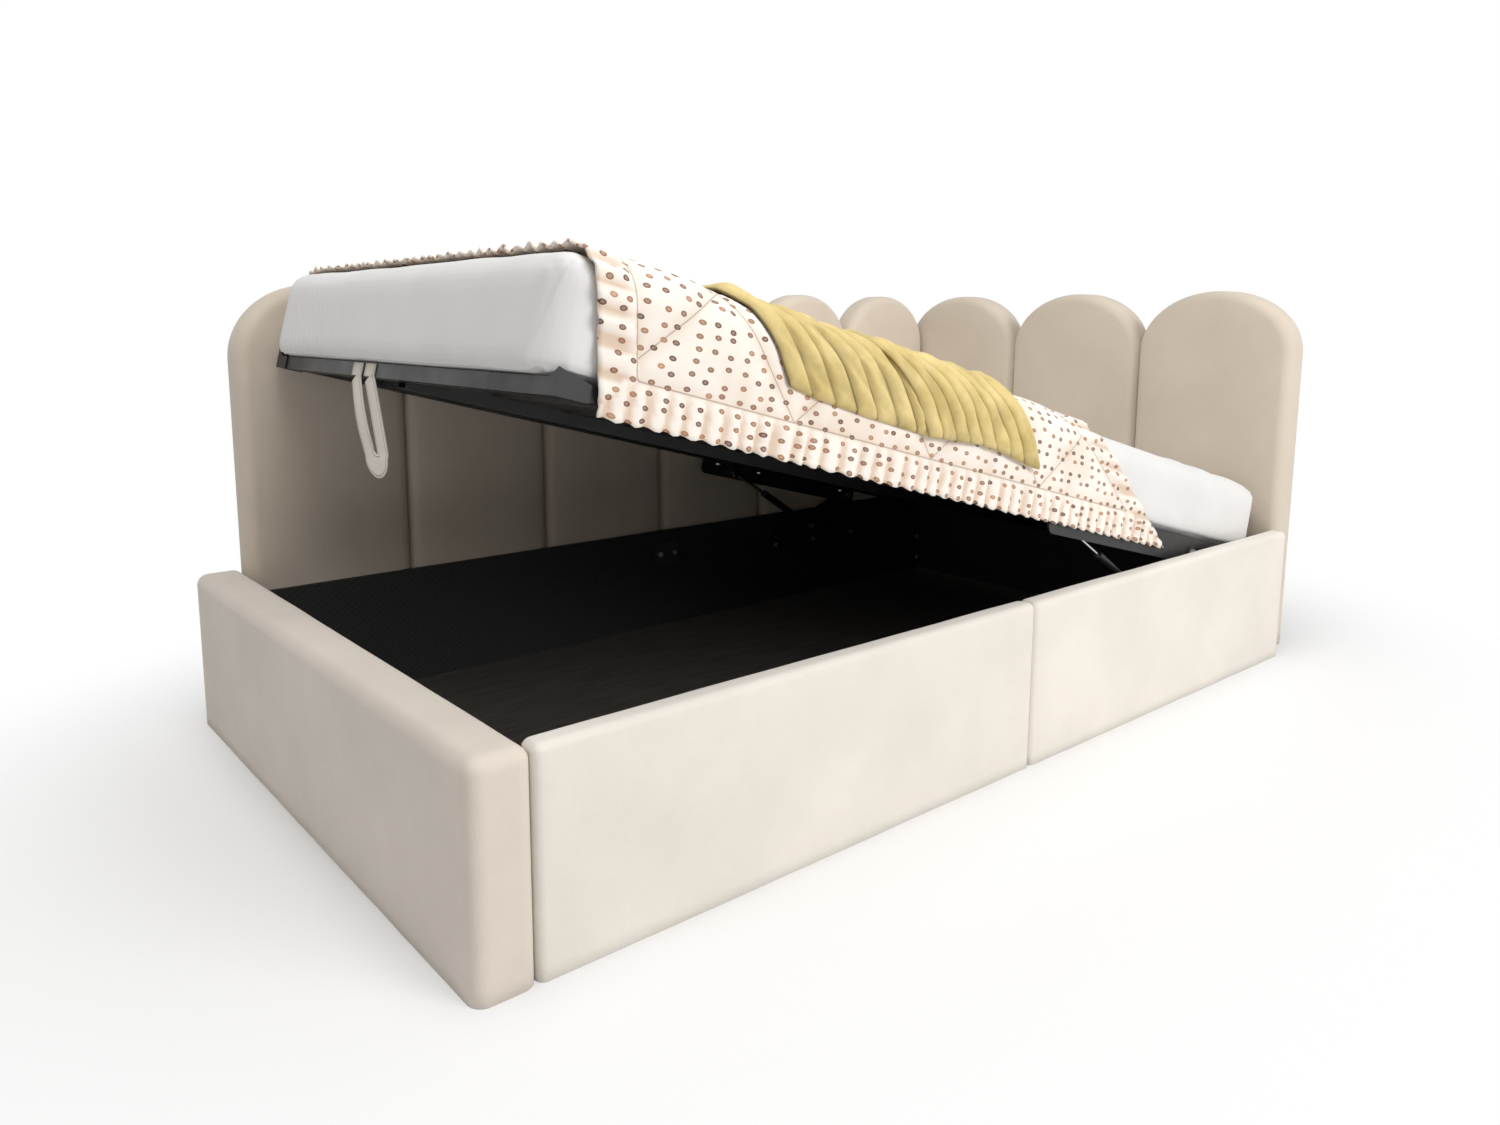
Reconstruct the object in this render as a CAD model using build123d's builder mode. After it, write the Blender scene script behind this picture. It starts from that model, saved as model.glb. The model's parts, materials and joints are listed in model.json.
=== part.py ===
from build123d import *
import os
from math import cos, hypot, radians, sin

os.makedirs("parts", exist_ok=True)

# Sizes in mm. +X runs to the head, -Y to the front, +Z up, and the origin is on the floor
# in the middle of the bed.
bed_length = 2080
bed_width = 1118
board_height = 827

# Foot board and front rail
foot_thick = 82
foot_height = 290
foot_pad = 12
foot_round = 9
rail_thick = 38
rail_height = 289
rail_pad = 8
rail_end_pad = 3
rail_round = 7
rail_foot_length = 960
hem = 2
window_margin = 30
window_low = 30
window_high = 224

# Back board and head board
board_thick = 70
back_panels = 6
head_panels = 3
headboard_inset = 23
headboard_lift = 10
arch_rise = 140
panel_gap = 0.4
panel_front_round = 18
panel_back_round = 6
board_core = 22
board_cloth = 2
core_inset = 16
core_drop = 8
glide_radius = 14
glide_inset = 90

# Storage box
liner = 10
foot_liner = 4
liner_height = 254
batten = 12
batten_width = 45
floor_thick = 8
bracket_leg = 40
bracket_thick = 3
bracket_low = 24
bracket_high = 150
joint_plate_width = 67
joint_plate_low = 170
joint_plate_high = 225
joint_plate_thick = 6
screw_head_radius = 6
screw_head = 3.5
screw_shank_radius = 3
screw_hole_radius = 3.2

# Lift pivot, with the platform photographed part open
rest_tilt = 14.18
pivot_to_headboard = 339.5
pivot_height = 277.8
bolt_radius = 5
bolt_hole_radius = 5.3
bolt_head_radius = 9
bolt_head = 5
arm_gap = 0.6
head_gap = 0.4

# Base plates beside the pivot, from the pivot's centre
plate_thick = 4
plate_foot = 307.5
plate_head = 69.5
plate_low = 150
plate_foot_high = 182
plate_step_foot = 224.5
plate_step_head = 128.5
plate_step_high = 252
plate_neck = 60
plate_head_shoulder = 262
plate_head_high = 235
plate_shoulder = 19.5
ear_radius = 14
plate_screw_drop = 40
stop_tab_foot = 220
stop_tab_head = 130
stop_tab_thick = 5
stop_tab_reach = 9.5

# Platform frame, in the tilted plane through the pivot
frame_foot = 1572
frame_head = 308
tube_width = 40
tube_low = 12
tube_high = 32
end_bar = 30
foot_bar_low = 10
centre_rail_low = 0.3
centre_rail_width = 30
slat_count = 14
slat_width = 60
slat_thick = 8.7
slat_low = 20.3
first_slat = 1490
last_slat = 240
tube_wall = 2
cap_length = 45
cap_wall = 3
cap_low = 17
cap_clearance = 0.2
cross_bar_gaps = (3, 8)
cross_bar_width = 30
cross_bar_wall = 1.5

# Lift arms
arm_thick = 4
arm_foot = 535
arm_head = 22
arm_low = 22
flange_width = 30
flange_thick = 4
flange_foot_end = 465
flange_head_start = 395
flange_head_end = 14
arm_round = 15
arm_bolt_radius = 4
arm_bolt_hole_radius = 4.2
arm_bolt_head_radius = 7
arm_bolt_head = 4
arm_bolt_inset = 35
stud_u = 434.9
stud_w = 6.9
stud_radius = 6
stud_length = 3.6
stud_gap = 0.3

# Gas struts
lower_bolt_x = 164.2
lower_bolt_z = 64.7
lower_bolt_radius = 4
strut_bolt_clearance = 0.3
strut_radius = 9
strut_inset = 22
barrel_start = 14
barrel_length = 195
barrel_bore_start = 62
rod_radius = 4
rod_clearance = 0.1
rod_length = 200
rod_eye_thick = 13.5
lower_bolt_head = 5.5

# Mattress and bedding
mattress_length = 1885
mattress_overhang = 15.7
mattress_thick = 155.7
mattress_inset = 8.3
mattress_back_inset = 4.3
mattress_low_round = 24
mattress_foot_round = 45
mattress_head_round = 68
mattress_side_round = 52
mattress_corner = 60
mattress_crown = 6
mattress_long_crown = 3
rest_gap = 0.3
sheet_thick = 2
sheet_hem = 12
quilt_thick = 6
quilt_side_gap = 2.5
quilt_back_gap = 1
quilt_back_low = 130
ruffle_top = 50
ruffle_pitch = 60
ruffle_thick = 4
ruffle_swing = 3.75
ruffle_top_swing = 1
throw_thick = 8
throw_fold = 4
throw_gap = 0.3
throw_reach = 560
throw_low = 70

# Mattress stops and pull strap
stop_thick = 3
stop_leg = 48
stop_rise = 12
stop_slope = 19
strap_width = 38
strap_gap = 12
strap_thick = 2.6
strap_drop = 150
strap_lean = 52
strap_centre = 62
strap_round = 34
strap_hang_gap = 0.95

# Places worked out from those sizes
x_foot = -bed_length / 2
x_head = bed_length / 2
y_front = -bed_width / 2
y_back = bed_width / 2
x_in_foot = x_foot + foot_thick
x_in_head = x_head - board_thick
y_in_front = y_front + rail_thick
y_in_back = y_back - board_thick
x_box_foot = x_in_foot + foot_liner
x_box_head = x_in_head - liner
y_box_front = y_in_front + liner
y_box_back = y_in_back - liner
x_seam = x_in_foot + rail_foot_length
y_mid = (y_box_front + y_box_back) / 2
springing = board_height - arch_rise
floor_top = batten + floor_thick

x_pivot = x_in_head - pivot_to_headboard
y_plate = y_box_front
y_arm = y_plate + plate_thick + arm_gap
y_tube_in = y_arm + tube_width
y_strut = y_plate + strut_inset
tilt = radians(rest_tilt)
u_direction = Vector(cos(tilt), 0, -sin(tilt))
w_direction = Vector(sin(tilt), 0, cos(tilt))
lift_plane = Plane(origin=(x_pivot, 0, pivot_height), x_dir=u_direction, z_dir=w_direction)
mid_plane = Plane(origin=(0, y_mid, 0), z_dir=(0, 1, 0))


def lift_point(u, y, w):
    """Row position of a point given along, across and square to the tilted platform."""
    return Vector(x_pivot, y, pivot_height) + u_direction * u + w_direction * w


def side_plane(y):
    """Upright plane along the platform: its x is u, its y is w, and it faces the front."""
    return Plane(origin=(x_pivot, y, pivot_height), x_dir=u_direction, z_dir=(0, -1, 0))


def cross_plane(u):
    """Plane across the platform: its x is the bed's y, and its y is w."""
    return Plane(origin=lift_point(u, 0, 0), x_dir=(0, 1, 0), z_dir=u_direction)


def upright(y):
    """Upright plane along the bed: its x is x, its y is z, and it faces the front."""
    return Plane(origin=(0, y, 0), x_dir=(1, 0, 0), z_dir=(0, -1, 0))


def block(x0, x1, y0, y1, z0, z1, mode=Mode.ADD):
    """A box between two corners, in the current part's own plane."""
    with Locations(((x0 + x1) / 2, (y0 + y1) / 2, (z0 + z1) / 2)):
        return Box(x1 - x0, y1 - y0, z1 - z0, mode=mode)


def cross_pin(plane, u, w, y0, y1, radius, mode=Mode.ADD):
    """A round bar along Y at one point of an upright plane, from y0 to y1."""
    spot = plane.from_local_coords((u, w, 0))
    middle = Plane(origin=(spot.X, (y0 + y1) / 2, spot.Z), z_dir=(0, 1, 0))
    with Locations(middle):
        return Cylinder(radius, y1 - y0, mode=mode)


def save(piece, name):
    """Label a finished piece and write it."""
    piece.part.label = name
    export_step(piece.part, f"parts/{name}.step")


def save_mirrored(piece, name):
    """Write the far side's twin of a near piece."""
    with BuildPart() as twin:
        mirror(piece.part, about=mid_plane)
    save(twin, name)


# Foot board and front rail: wooden cores in padded covers, with the wood flush in a window
def upholstered(names, outer, core, window, edge_round):
    with BuildPart() as wood:
        block(*core)
        block(*window)
    save(wood, names[0])
    with BuildPart() as cover:
        block(*outer)
        upright_edges = cover.edges().filter_by(Axis.Z)
        fillet(upright_edges + cover.faces().sort_by(Axis.Z)[-1].edges(), edge_round)
        block(*core, mode=Mode.SUBTRACT)
        block(*window, mode=Mode.SUBTRACT)
    save(cover, names[1])


upholstered(
    ("foot_board_core", "foot_board_cover"),
    (x_foot, x_in_foot, y_front, y_back, 0, foot_height),
    (x_foot + foot_pad, x_in_foot - hem, y_front + foot_pad, y_back - foot_pad, 0, foot_height - foot_pad),
    (x_in_foot - hem, x_in_foot, y_in_front + window_margin, y_in_back - window_margin, window_low, window_high),
    foot_round,
)
for letter, x0, x1 in (("a", x_in_foot, x_seam), ("b", x_seam, x_in_head)):
    upholstered(
        (f"front_rail_core_{letter}", f"front_rail_cover_{letter}"),
        (x0, x1, y_front, y_in_front, 0, rail_height),
        (x0 + rail_end_pad, x1 - rail_end_pad, y_front + rail_pad, y_in_front - hem, 0, rail_height - rail_pad),
        (x0 + window_margin, x1 - window_margin, y_in_front - hem, y_in_front, window_low, window_high),
        rail_round,
    )


# Back board and head board: rows of padded arches on one scalloped core with a cloth back
def arch_outline(left, right, low, spring, rise):
    """Fill a panel outline: straight sides under half an ellipse."""
    with BuildLine() as edge:
        Polyline((left, spring), (left, low), (right, low), (right, spring))
        EllipticalCenterArc(((left + right) / 2, spring), (right - left) / 2, rise, arc_size=180)
    make_face(edge.edges())


def backing(plane, start, pitch, count, low, depth):
    """One flat board behind a row of arches, inset from their edges."""
    with BuildPart() as board:
        with BuildSketch(plane):
            for i in range(count):
                left = start + i * pitch + core_inset
                right = start + (i + 1) * pitch - core_inset
                arch_outline(left, right, low + core_inset, springing, arch_rise - core_inset)
            width = count * pitch - 2 * core_inset
            height = springing - core_drop - low - core_inset
            with Locations((start + count * pitch / 2, low + core_inset + height / 2)):
                Rectangle(width, height)
        extrude(amount=depth)
    return board.part


def scalloped_board(name, plane, start, pitch, count, low):
    """Panels, core and back cloth of one board, from its outer face inwards."""
    pocket = backing(plane, start, pitch, count, low, board_cloth + board_core)
    cloth_solid = backing(plane, start, pitch, count, low, board_cloth)
    inwards = Axis(plane.origin, plane.z_dir)
    for i in range(count):
        left = start + i * pitch + panel_gap / 2
        right = start + (i + 1) * pitch - panel_gap / 2
        with BuildPart() as panel:
            with BuildSketch(plane):
                arch_outline(left, right, low, springing, arch_rise)
            extrude(amount=board_thick)
            fillet(panel.faces().sort_by(inwards)[-1].edges(), panel_front_round)
            fillet(panel.faces().sort_by(inwards)[0].edges(), panel_back_round)
            add(pocket, mode=Mode.SUBTRACT)
        save(panel, f"{name}_panel_{i + 1}")
    with BuildPart() as core:
        add(pocket)
        add(cloth_solid, mode=Mode.SUBTRACT)
    save(core, f"{name}_core")
    with BuildPart() as cloth:
        add(cloth_solid)
    save(cloth, f"{name}_back_cloth")


back_plane = upright(y_back)
head_plane = Plane(origin=(x_head, 0, 0), x_dir=(0, -1, 0), z_dir=(-1, 0, 0))
back_pitch = (x_in_head - x_in_foot) / back_panels
head_pitch = (bed_width - headboard_inset) / head_panels
scalloped_board("backboard", back_plane, x_in_foot, back_pitch, back_panels, 0)
scalloped_board("headboard", head_plane, -y_back, head_pitch, head_panels, headboard_lift)

with BuildPart() as headboard_glides:
    for y in (y_front + headboard_inset + glide_inset, y_back - glide_inset):
        with Locations((x_head - board_thick / 2, y, headboard_lift / 2)):
            Cylinder(glide_radius, headboard_lift)
save(headboard_glides, "headboard_glides")

# Storage box: liner boards, floor on battens, corner brackets and the plates over the seams
liners = {
    "liner_foot": (x_in_foot, x_box_foot, y_box_front, y_box_back, 0, liner_height),
    "liner_head": (x_box_head, x_in_head, y_box_front, y_box_back, 0, liner_height),
    "liner_front_a": (x_in_foot, x_seam, y_in_front, y_box_front, 0, liner_height),
    "liner_front_b": (x_seam, x_in_head, y_in_front, y_box_front, 0, liner_height),
    "liner_back_a": (x_in_foot, x_seam, y_box_back, y_in_back, 0, liner_height),
    "liner_back_b": (x_seam, x_in_head, y_box_back, y_in_back, 0, liner_height),
    "floor_panel_foot": (x_box_foot, x_seam, y_box_front, y_box_back, batten, floor_top),
    "floor_panel_head": (x_seam, x_box_head, y_box_front, y_box_back, batten, floor_top),
    "floor_cross_beam": (
        x_seam - batten_width / 2,
        x_seam + batten_width / 2,
        y_box_front + batten_width,
        y_box_back - batten_width,
        0,
        batten,
    ),
}
for name, corners in liners.items():
    with BuildPart() as board:
        block(*corners)
    save(board, name)

with BuildPart() as floor_battens:
    block(x_box_foot, x_box_head, y_box_front, y_box_front + batten_width, 0, batten)
    block(x_box_foot, x_box_head, y_box_back - batten_width, y_box_back, 0, batten)
save(floor_battens, "floor_battens")

bracket_screw_z = ((bracket_high * 3 + bracket_low) / 4, (bracket_high + bracket_low * 3) / 4)
bracket_screw_in = (bracket_leg + bracket_thick) / 2
corners = [
    (x_box_foot, 1, y_box_front, 1),
    (x_box_foot, 1, y_box_back, -1),
    (x_box_head, -1, y_box_front, 1),
    (x_box_head, -1, y_box_back, -1),
]
with BuildPart() as corner_brackets:
    for x, sx, y, sy in corners:
        xs = sorted((x, x + sx * bracket_leg))
        ys = sorted((y, y + sy * bracket_leg))
        block(*xs, *ys, bracket_low, bracket_high)
        xs = sorted((x + sx * bracket_thick, x + sx * bracket_leg))
        ys = sorted((y + sy * bracket_thick, y + sy * bracket_leg))
        block(*xs, *ys, bracket_low, bracket_high, mode=Mode.SUBTRACT)
        for z in bracket_screw_z:
            hole = upright(0)
            y0, y1 = sorted((y, y + sy * bracket_thick))
            cross_pin(hole, x + sx * bracket_screw_in, z, y0, y1, screw_hole_radius, Mode.SUBTRACT)
save(corner_brackets, "corner_brackets")

joint_screw_x = joint_plate_width / 2 - 2 * screw_head_radius
joint_screw_z = (joint_plate_low + joint_plate_high) / 2
with BuildPart() as joint_plate_front:
    block(
        x_seam - joint_plate_width / 2,
        x_seam + joint_plate_width / 2,
        y_box_front,
        y_box_front + joint_plate_thick,
        joint_plate_low,
        joint_plate_high,
    )
    for side in (-1, 1):
        cross_pin(
            upright(0),
            x_seam + side * joint_screw_x,
            joint_screw_z,
            y_box_front,
            y_box_front + joint_plate_thick,
            screw_hole_radius,
            Mode.SUBTRACT,
        )
with BuildPart() as liner_joint_plates:
    add(joint_plate_front.part)
    mirror(joint_plate_front.part, about=mid_plane)
save(liner_joint_plates, "liner_joint_plates")

# Lift base plates, bolted to the liner, each with a tab that stops the closed arm
plate_screws_x = [
    x_pivot - plate_foot + plate_screw_drop,
    x_pivot - plate_step_head,
    x_pivot + plate_shoulder,
]
plate_screw_z = plate_foot_high - plate_screw_drop / 2 + 8
tab_top = pivot_height - arm_low - rest_gap
with BuildPart() as lift_base_plate_front:
    with BuildSketch(upright(y_plate)):
        with BuildLine():
            Polyline(
                (x_pivot - plate_foot, plate_low),
                (x_pivot - plate_foot, plate_foot_high),
                (x_pivot - plate_step_foot, plate_step_high),
                (x_pivot - plate_step_head, plate_step_high),
                (x_pivot - plate_neck, pivot_height),
                (x_pivot, pivot_height),
                (x_pivot + plate_shoulder, plate_head_shoulder),
                (x_pivot + plate_head, plate_head_high),
                (x_pivot + plate_head, plate_low),
                close=True,
            )
        make_face()
        with Locations((x_pivot, pivot_height)):
            Circle(ear_radius)
    extrude(amount=-plate_thick)
    block(
        x_pivot - stop_tab_foot,
        x_pivot - stop_tab_head,
        y_plate + plate_thick / 2,
        y_plate + stop_tab_reach,
        tab_top - stop_tab_thick,
        tab_top,
    )
    y_face = y_plate + plate_thick
    cross_pin(upright(0), x_pivot, pivot_height, y_plate, y_face, bolt_hole_radius, Mode.SUBTRACT)
    cross_pin(
        upright(0),
        x_pivot - lower_bolt_x,
        pivot_height - lower_bolt_z,
        y_plate,
        y_face,
        lower_bolt_radius,
        Mode.SUBTRACT,
    )
    for x in plate_screws_x:
        cross_pin(upright(0), x, plate_screw_z, y_plate, y_face, screw_hole_radius, Mode.SUBTRACT)
save(lift_base_plate_front, "lift_base_plate_front")
save_mirrored(lift_base_plate_front, "lift_base_plate_back")

# One kind of screw holds the base plates, the seam plates and the brackets
screw_spots = [(x, plate_screw_z, plate_thick) for x in plate_screws_x]
screw_spots += [(x_seam + side * joint_screw_x, joint_screw_z, joint_plate_thick) for side in (-1, 1)]
for x, sx, y, sy in corners[::2]:
    screw_spots += [(x + sx * bracket_screw_in, z, bracket_thick) for z in bracket_screw_z]
with BuildPart() as near_screws:
    for x, z, depth in screw_spots:
        face = y_box_front + depth
        cross_pin(upright(0), x, z, y_box_front, face, screw_shank_radius)
        cross_pin(upright(0), x, z, face, face + screw_head, screw_head_radius)
with BuildPart() as mount_screws:
    add(near_screws.part)
    mirror(near_screws.part, about=mid_plane)
save(mount_screws, "mount_screws")

# Pivot bolts: nut outside the plate, shank through plate and arm, bright head inside
y_bolt_head = y_arm + arm_thick + head_gap
with BuildPart() as pivot_bolt:
    cross_pin(upright(0), x_pivot, pivot_height, y_plate - bolt_head, y_bolt_head, bolt_radius)
    cross_pin(upright(0), x_pivot, pivot_height, y_bolt_head, y_bolt_head + bolt_head, bolt_head_radius)
    cross_pin(upright(0), x_pivot, pivot_height, y_plate - bolt_head, y_plate, bolt_head_radius)
with BuildPart() as pivot_bolts:
    add(pivot_bolt.part)
    mirror(pivot_bolt.part, about=mid_plane)
save(pivot_bolts, "pivot_bolts")

# Struts: a barrel on the lower bolt and a rod whose eye hangs beside the arm's stud
bolt_spot = Vector(x_pivot - lower_bolt_x, 0, pivot_height - lower_bolt_z)
stud_spot = lift_point(-stud_u, 0, -stud_w)
strut_length = hypot(stud_spot.X - bolt_spot.X, stud_spot.Z - bolt_spot.Z)
strut_direction = (stud_spot - bolt_spot).normalized()
strut_plane = Plane(
    origin=(bolt_spot.X, y_strut, bolt_spot.Z), x_dir=strut_direction, z_dir=(0, -1, 0)
)
y_strut_end = y_strut + strut_radius

with BuildPart() as strut_bolt:
    cross_pin(upright(0), bolt_spot.X, bolt_spot.Z, y_plate, y_strut_end + head_gap, lower_bolt_radius)
    cross_pin(
        upright(0),
        bolt_spot.X,
        bolt_spot.Z,
        y_strut_end + head_gap,
        y_strut_end + head_gap + lower_bolt_head,
        bolt_head_radius - 2,
    )
with BuildPart() as strut_lower_bolts:
    add(strut_bolt.part)
    mirror(strut_bolt.part, about=mid_plane)
save(strut_lower_bolts, "strut_lower_bolts")

with BuildPart(strut_plane) as strut_cylinder_front:
    Cylinder(strut_radius, 2 * strut_radius)
    block(0, barrel_start, -strut_radius, strut_radius, -strut_radius, strut_radius)
    with Locations(Location(((barrel_start + barrel_length) / 2, 0, 0), (0, 90, 0))):
        Cylinder(strut_radius, barrel_length - barrel_start)
    with Locations(Location(((barrel_bore_start + barrel_length) / 2, 0, 0), (0, 90, 0))):
        Cylinder(rod_radius + rod_clearance, barrel_length - barrel_bore_start, mode=Mode.SUBTRACT)
    Cylinder(lower_bolt_radius + strut_bolt_clearance, 2 * strut_radius, mode=Mode.SUBTRACT)
save(strut_cylinder_front, "strut_cylinder_front")
save_mirrored(strut_cylinder_front, "strut_cylinder_back")

y_leaf = y_arm + arm_thick
y_eye = y_leaf + stud_length + stud_gap
with BuildPart(strut_plane) as strut_rod_front:
    with Locations(Location((strut_length - rod_length / 2, 0, 0), (0, 90, 0))):
        Cylinder(rod_radius, rod_length)
    with Locations((strut_length, 0, y_strut - y_eye - rod_eye_thick / 2)):
        Cylinder(strut_radius, rod_eye_thick)
save(strut_rod_front, "strut_rod_front")
save_mirrored(strut_rod_front, "strut_rod_back")

# Lift arms: an upright leaf with a flange bolted under the side rail and a stud for the strut
flange_low = tube_low - flange_thick
y_flange = y_leaf + flange_width
arm_bolts_u = (
    -(arm_foot + flange_foot_end) / 2,
    -flange_head_start + arm_bolt_inset,
    -flange_head_end - arm_bolt_inset,
)
y_arm_bolt = y_leaf + flange_width / 2
with BuildPart() as lift_arm_front:
    with BuildSketch(side_plane(y_arm)):
        with Locations(((arm_head - arm_foot) / 2, (tube_low - arm_low) / 2)):
            Rectangle(arm_foot + arm_head, arm_low + tube_low)
        fillet(vertices().group_by(Axis.Y)[0], arm_round)
    extrude(amount=-arm_thick)
    with Locations(lift_plane):
        block(-arm_foot, -flange_foot_end, y_leaf, y_flange, flange_low, tube_low)
        block(-flange_head_start, -flange_head_end, y_leaf, y_flange, flange_low, tube_low)
        for u in arm_bolts_u:
            with Locations((u, y_arm_bolt, (flange_low + tube_low) / 2)):
                Cylinder(arm_bolt_hole_radius, flange_thick, mode=Mode.SUBTRACT)
    cross_pin(side_plane(0), -stud_u, -stud_w, y_leaf, y_leaf + stud_length, stud_radius)
    cross_pin(side_plane(0), 0, 0, y_arm, y_leaf, bolt_hole_radius, Mode.SUBTRACT)
save(lift_arm_front, "lift_arm_front")
save_mirrored(lift_arm_front, "lift_arm_back")

with BuildPart(lift_plane) as near_arm_bolts:
    for u in arm_bolts_u:
        with Locations((u, y_arm_bolt, (flange_low + tube_low) / 2)):
            Cylinder(arm_bolt_radius, flange_thick)
        with Locations((u, y_arm_bolt, flange_low - arm_bolt_head / 2)):
            Cylinder(arm_bolt_head_radius, arm_bolt_head)
with BuildPart() as arm_bolts:
    add(near_arm_bolts.part)
    mirror(near_arm_bolts.part, about=mid_plane)
save(arm_bolts, "arm_bolts")

# Platform frame: hollow steel tubes; the side rails are closed at the foot
y_far_tube_in = 2 * y_mid - y_tube_in
with BuildPart(lift_plane) as side_rail_front:
    block(-frame_foot, frame_head, y_arm, y_tube_in, tube_low, tube_high)
    block(
        tube_wall - frame_foot,
        frame_head,
        y_arm + tube_wall,
        y_tube_in - tube_wall,
        tube_low + tube_wall,
        tube_high - tube_wall,
        mode=Mode.SUBTRACT,
    )
save(side_rail_front, "side_rail_front")
save_mirrored(side_rail_front, "side_rail_back")


def cross_tube(u0, u1, w0, w1, wall):
    """A tube between the side rails, open at both ends."""
    block(u0, u1, y_tube_in, y_far_tube_in, w0, w1)
    block(u0 + wall, u1 - wall, y_tube_in, y_far_tube_in, w0 + wall, w1 - wall, mode=Mode.SUBTRACT)


with BuildPart(lift_plane) as foot_bar:
    cross_tube(-frame_foot, end_bar - frame_foot, foot_bar_low, tube_high, tube_wall)
save(foot_bar, "foot_bar")
with BuildPart(lift_plane) as head_bar:
    cross_tube(frame_head - end_bar, frame_head, tube_low, tube_high, tube_wall)
save(head_bar, "head_bar")

with BuildPart(lift_plane) as centre_rail:
    y0 = y_mid - centre_rail_width / 2
    y1 = y_mid + centre_rail_width / 2
    u0 = end_bar - frame_foot
    u1 = frame_head - end_bar
    block(u0, u1, y0, y1, centre_rail_low, slat_low)
    block(
        u0,
        u1,
        y0 + tube_wall,
        y1 - tube_wall,
        centre_rail_low + tube_wall,
        slat_low - tube_wall,
        mode=Mode.SUBTRACT,
    )
save(centre_rail, "centre_rail")

slat_pitch = (first_slat + last_slat) / (slat_count - 1)
slats_u = [i * slat_pitch - first_slat for i in range(slat_count)]
with BuildPart(lift_plane) as cross_bars:
    for i in cross_bar_gaps:
        u = slats_u[i] + slat_pitch / 2
        cross_tube(u - cross_bar_width / 2, u + cross_bar_width / 2, slat_low, tube_high, cross_bar_wall)
save(cross_bars, "cross_bars")

# Slats on the centre rail, with their ends in caps on the side rails
half_slat = slat_width / 2
with BuildPart(lift_plane) as slats:
    for u in slats_u:
        block(
            u - half_slat,
            u + half_slat,
            y_tube_in + cap_wall,
            y_far_tube_in - cap_wall,
            slat_low,
            slat_low + slat_thick,
        )
save(slats, "slats")

half_slot = half_slat + cap_clearance
with BuildPart(lift_plane) as near_caps:
    for u in slats_u:
        block(
            u - half_slot - cap_wall,
            u + half_slot + cap_wall,
            y_tube_in,
            y_tube_in + cap_length,
            cap_low,
            tube_high,
        )
        block(
            u - half_slot,
            u + half_slot,
            y_tube_in + cap_wall,
            y_tube_in + cap_length,
            slat_low,
            slat_low + slat_thick + cap_clearance,
            mode=Mode.SUBTRACT,
        )
with BuildPart() as slat_caps:
    add(near_caps.part)
    mirror(near_caps.part, about=mid_plane)
save(slat_caps, "slat_caps")

# Mattress stops: bent corner plates that rise at the platform's two foot corners
stop_foot = frame_foot + stop_thick
stop_high = tube_high + stop_rise
with BuildPart() as near_stop:
    with BuildSketch(side_plane(y_arm - stop_thick)):
        with BuildLine():
            Polyline(
                (-stop_foot, foot_bar_low),
                (-stop_foot, stop_high),
                (stop_leg - stop_foot, tube_high),
                (stop_leg - stop_foot, foot_bar_low),
                close=True,
            )
        make_face()
    extrude(amount=-stop_thick)
    with BuildSketch(cross_plane(-stop_foot)):
        with BuildLine():
            y0 = y_arm - stop_thick
            Polyline(
                (y0, foot_bar_low),
                (y0, stop_high),
                (y0 + stop_slope, tube_high),
                (y0 + stop_leg, tube_high),
                (y0 + stop_leg, foot_bar_low),
                close=True,
            )
        make_face()
    extrude(amount=stop_thick)
with BuildPart() as mattress_stops:
    add(near_stop.part)
    mirror(near_stop.part, about=mid_plane)
save(mattress_stops, "mattress_stops")


# Mattress and its fitted sheet
def cushion_outline(a0, a1, w0, w1, low, high0, high1, crown):
    """Fill a soft section: corners drawn in below and above, and a crowned top."""
    shoulder = w1 - crown
    with BuildLine() as edge:
        Line((a0 + low, w0), (a1 - low, w0))
        CenterArc((a1 - low, w0 + low), low, -90, 90)
        Line((a1, w0 + low), (a1, shoulder - high1))
        CenterArc((a1 - high1, shoulder - high1), high1, 0, 90)
        ThreePointArc((a1 - high1, shoulder), ((a0 + a1) / 2, w1), (a0 + high0, shoulder))
        CenterArc((a0 + high0, shoulder - high0), high0, 90, 90)
        Line((a0, shoulder - high0), (a0, w0 + low))
        CenterArc((a0 + low, w0 + low), low, 180, 90)
    make_face(edge.edges())


mattress_u0 = -(frame_foot + mattress_overhang)
mattress_u1 = mattress_u0 + mattress_length
mattress_y0 = y_box_front + mattress_inset
mattress_y1 = y_box_back - mattress_back_inset
mattress_w0 = tube_high + rest_gap
mattress_w1 = mattress_w0 + mattress_thick


def mattress_form(grow):
    """The mattress's shape, grown by the same amount all round for what covers it."""
    u0 = mattress_u0 - grow
    u1 = mattress_u1 + grow
    y0 = mattress_y0 - grow
    y1 = mattress_y1 + grow
    w0 = mattress_w0 - grow
    w1 = mattress_w1 + grow
    low = mattress_low_round + grow
    side = mattress_side_round + grow
    with BuildPart() as form:
        with BuildSketch(side_plane(y0)):
            foot = mattress_foot_round + grow
            head = mattress_head_round + grow
            cushion_outline(u0, u1, w0, w1, low, foot, head, mattress_long_crown)
        extrude(amount=y0 - y1)
        with BuildSketch(cross_plane(u0)):
            cushion_outline(y0, y1, w0, w1, low, side, side, mattress_crown)
        extrude(amount=u1 - u0, mode=Mode.INTERSECT)
        with BuildSketch(lift_plane.offset(w0)):
            with Locations(((u0 + u1) / 2, (y0 + y1) / 2)):
                RectangleRounded(u1 - u0, y1 - y0, mattress_corner + grow)
        extrude(amount=w1 - w0, mode=Mode.INTERSECT)
    return form.part


with BuildPart() as mattress:
    add(mattress_form(0))
save(mattress, "mattress")

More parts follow.
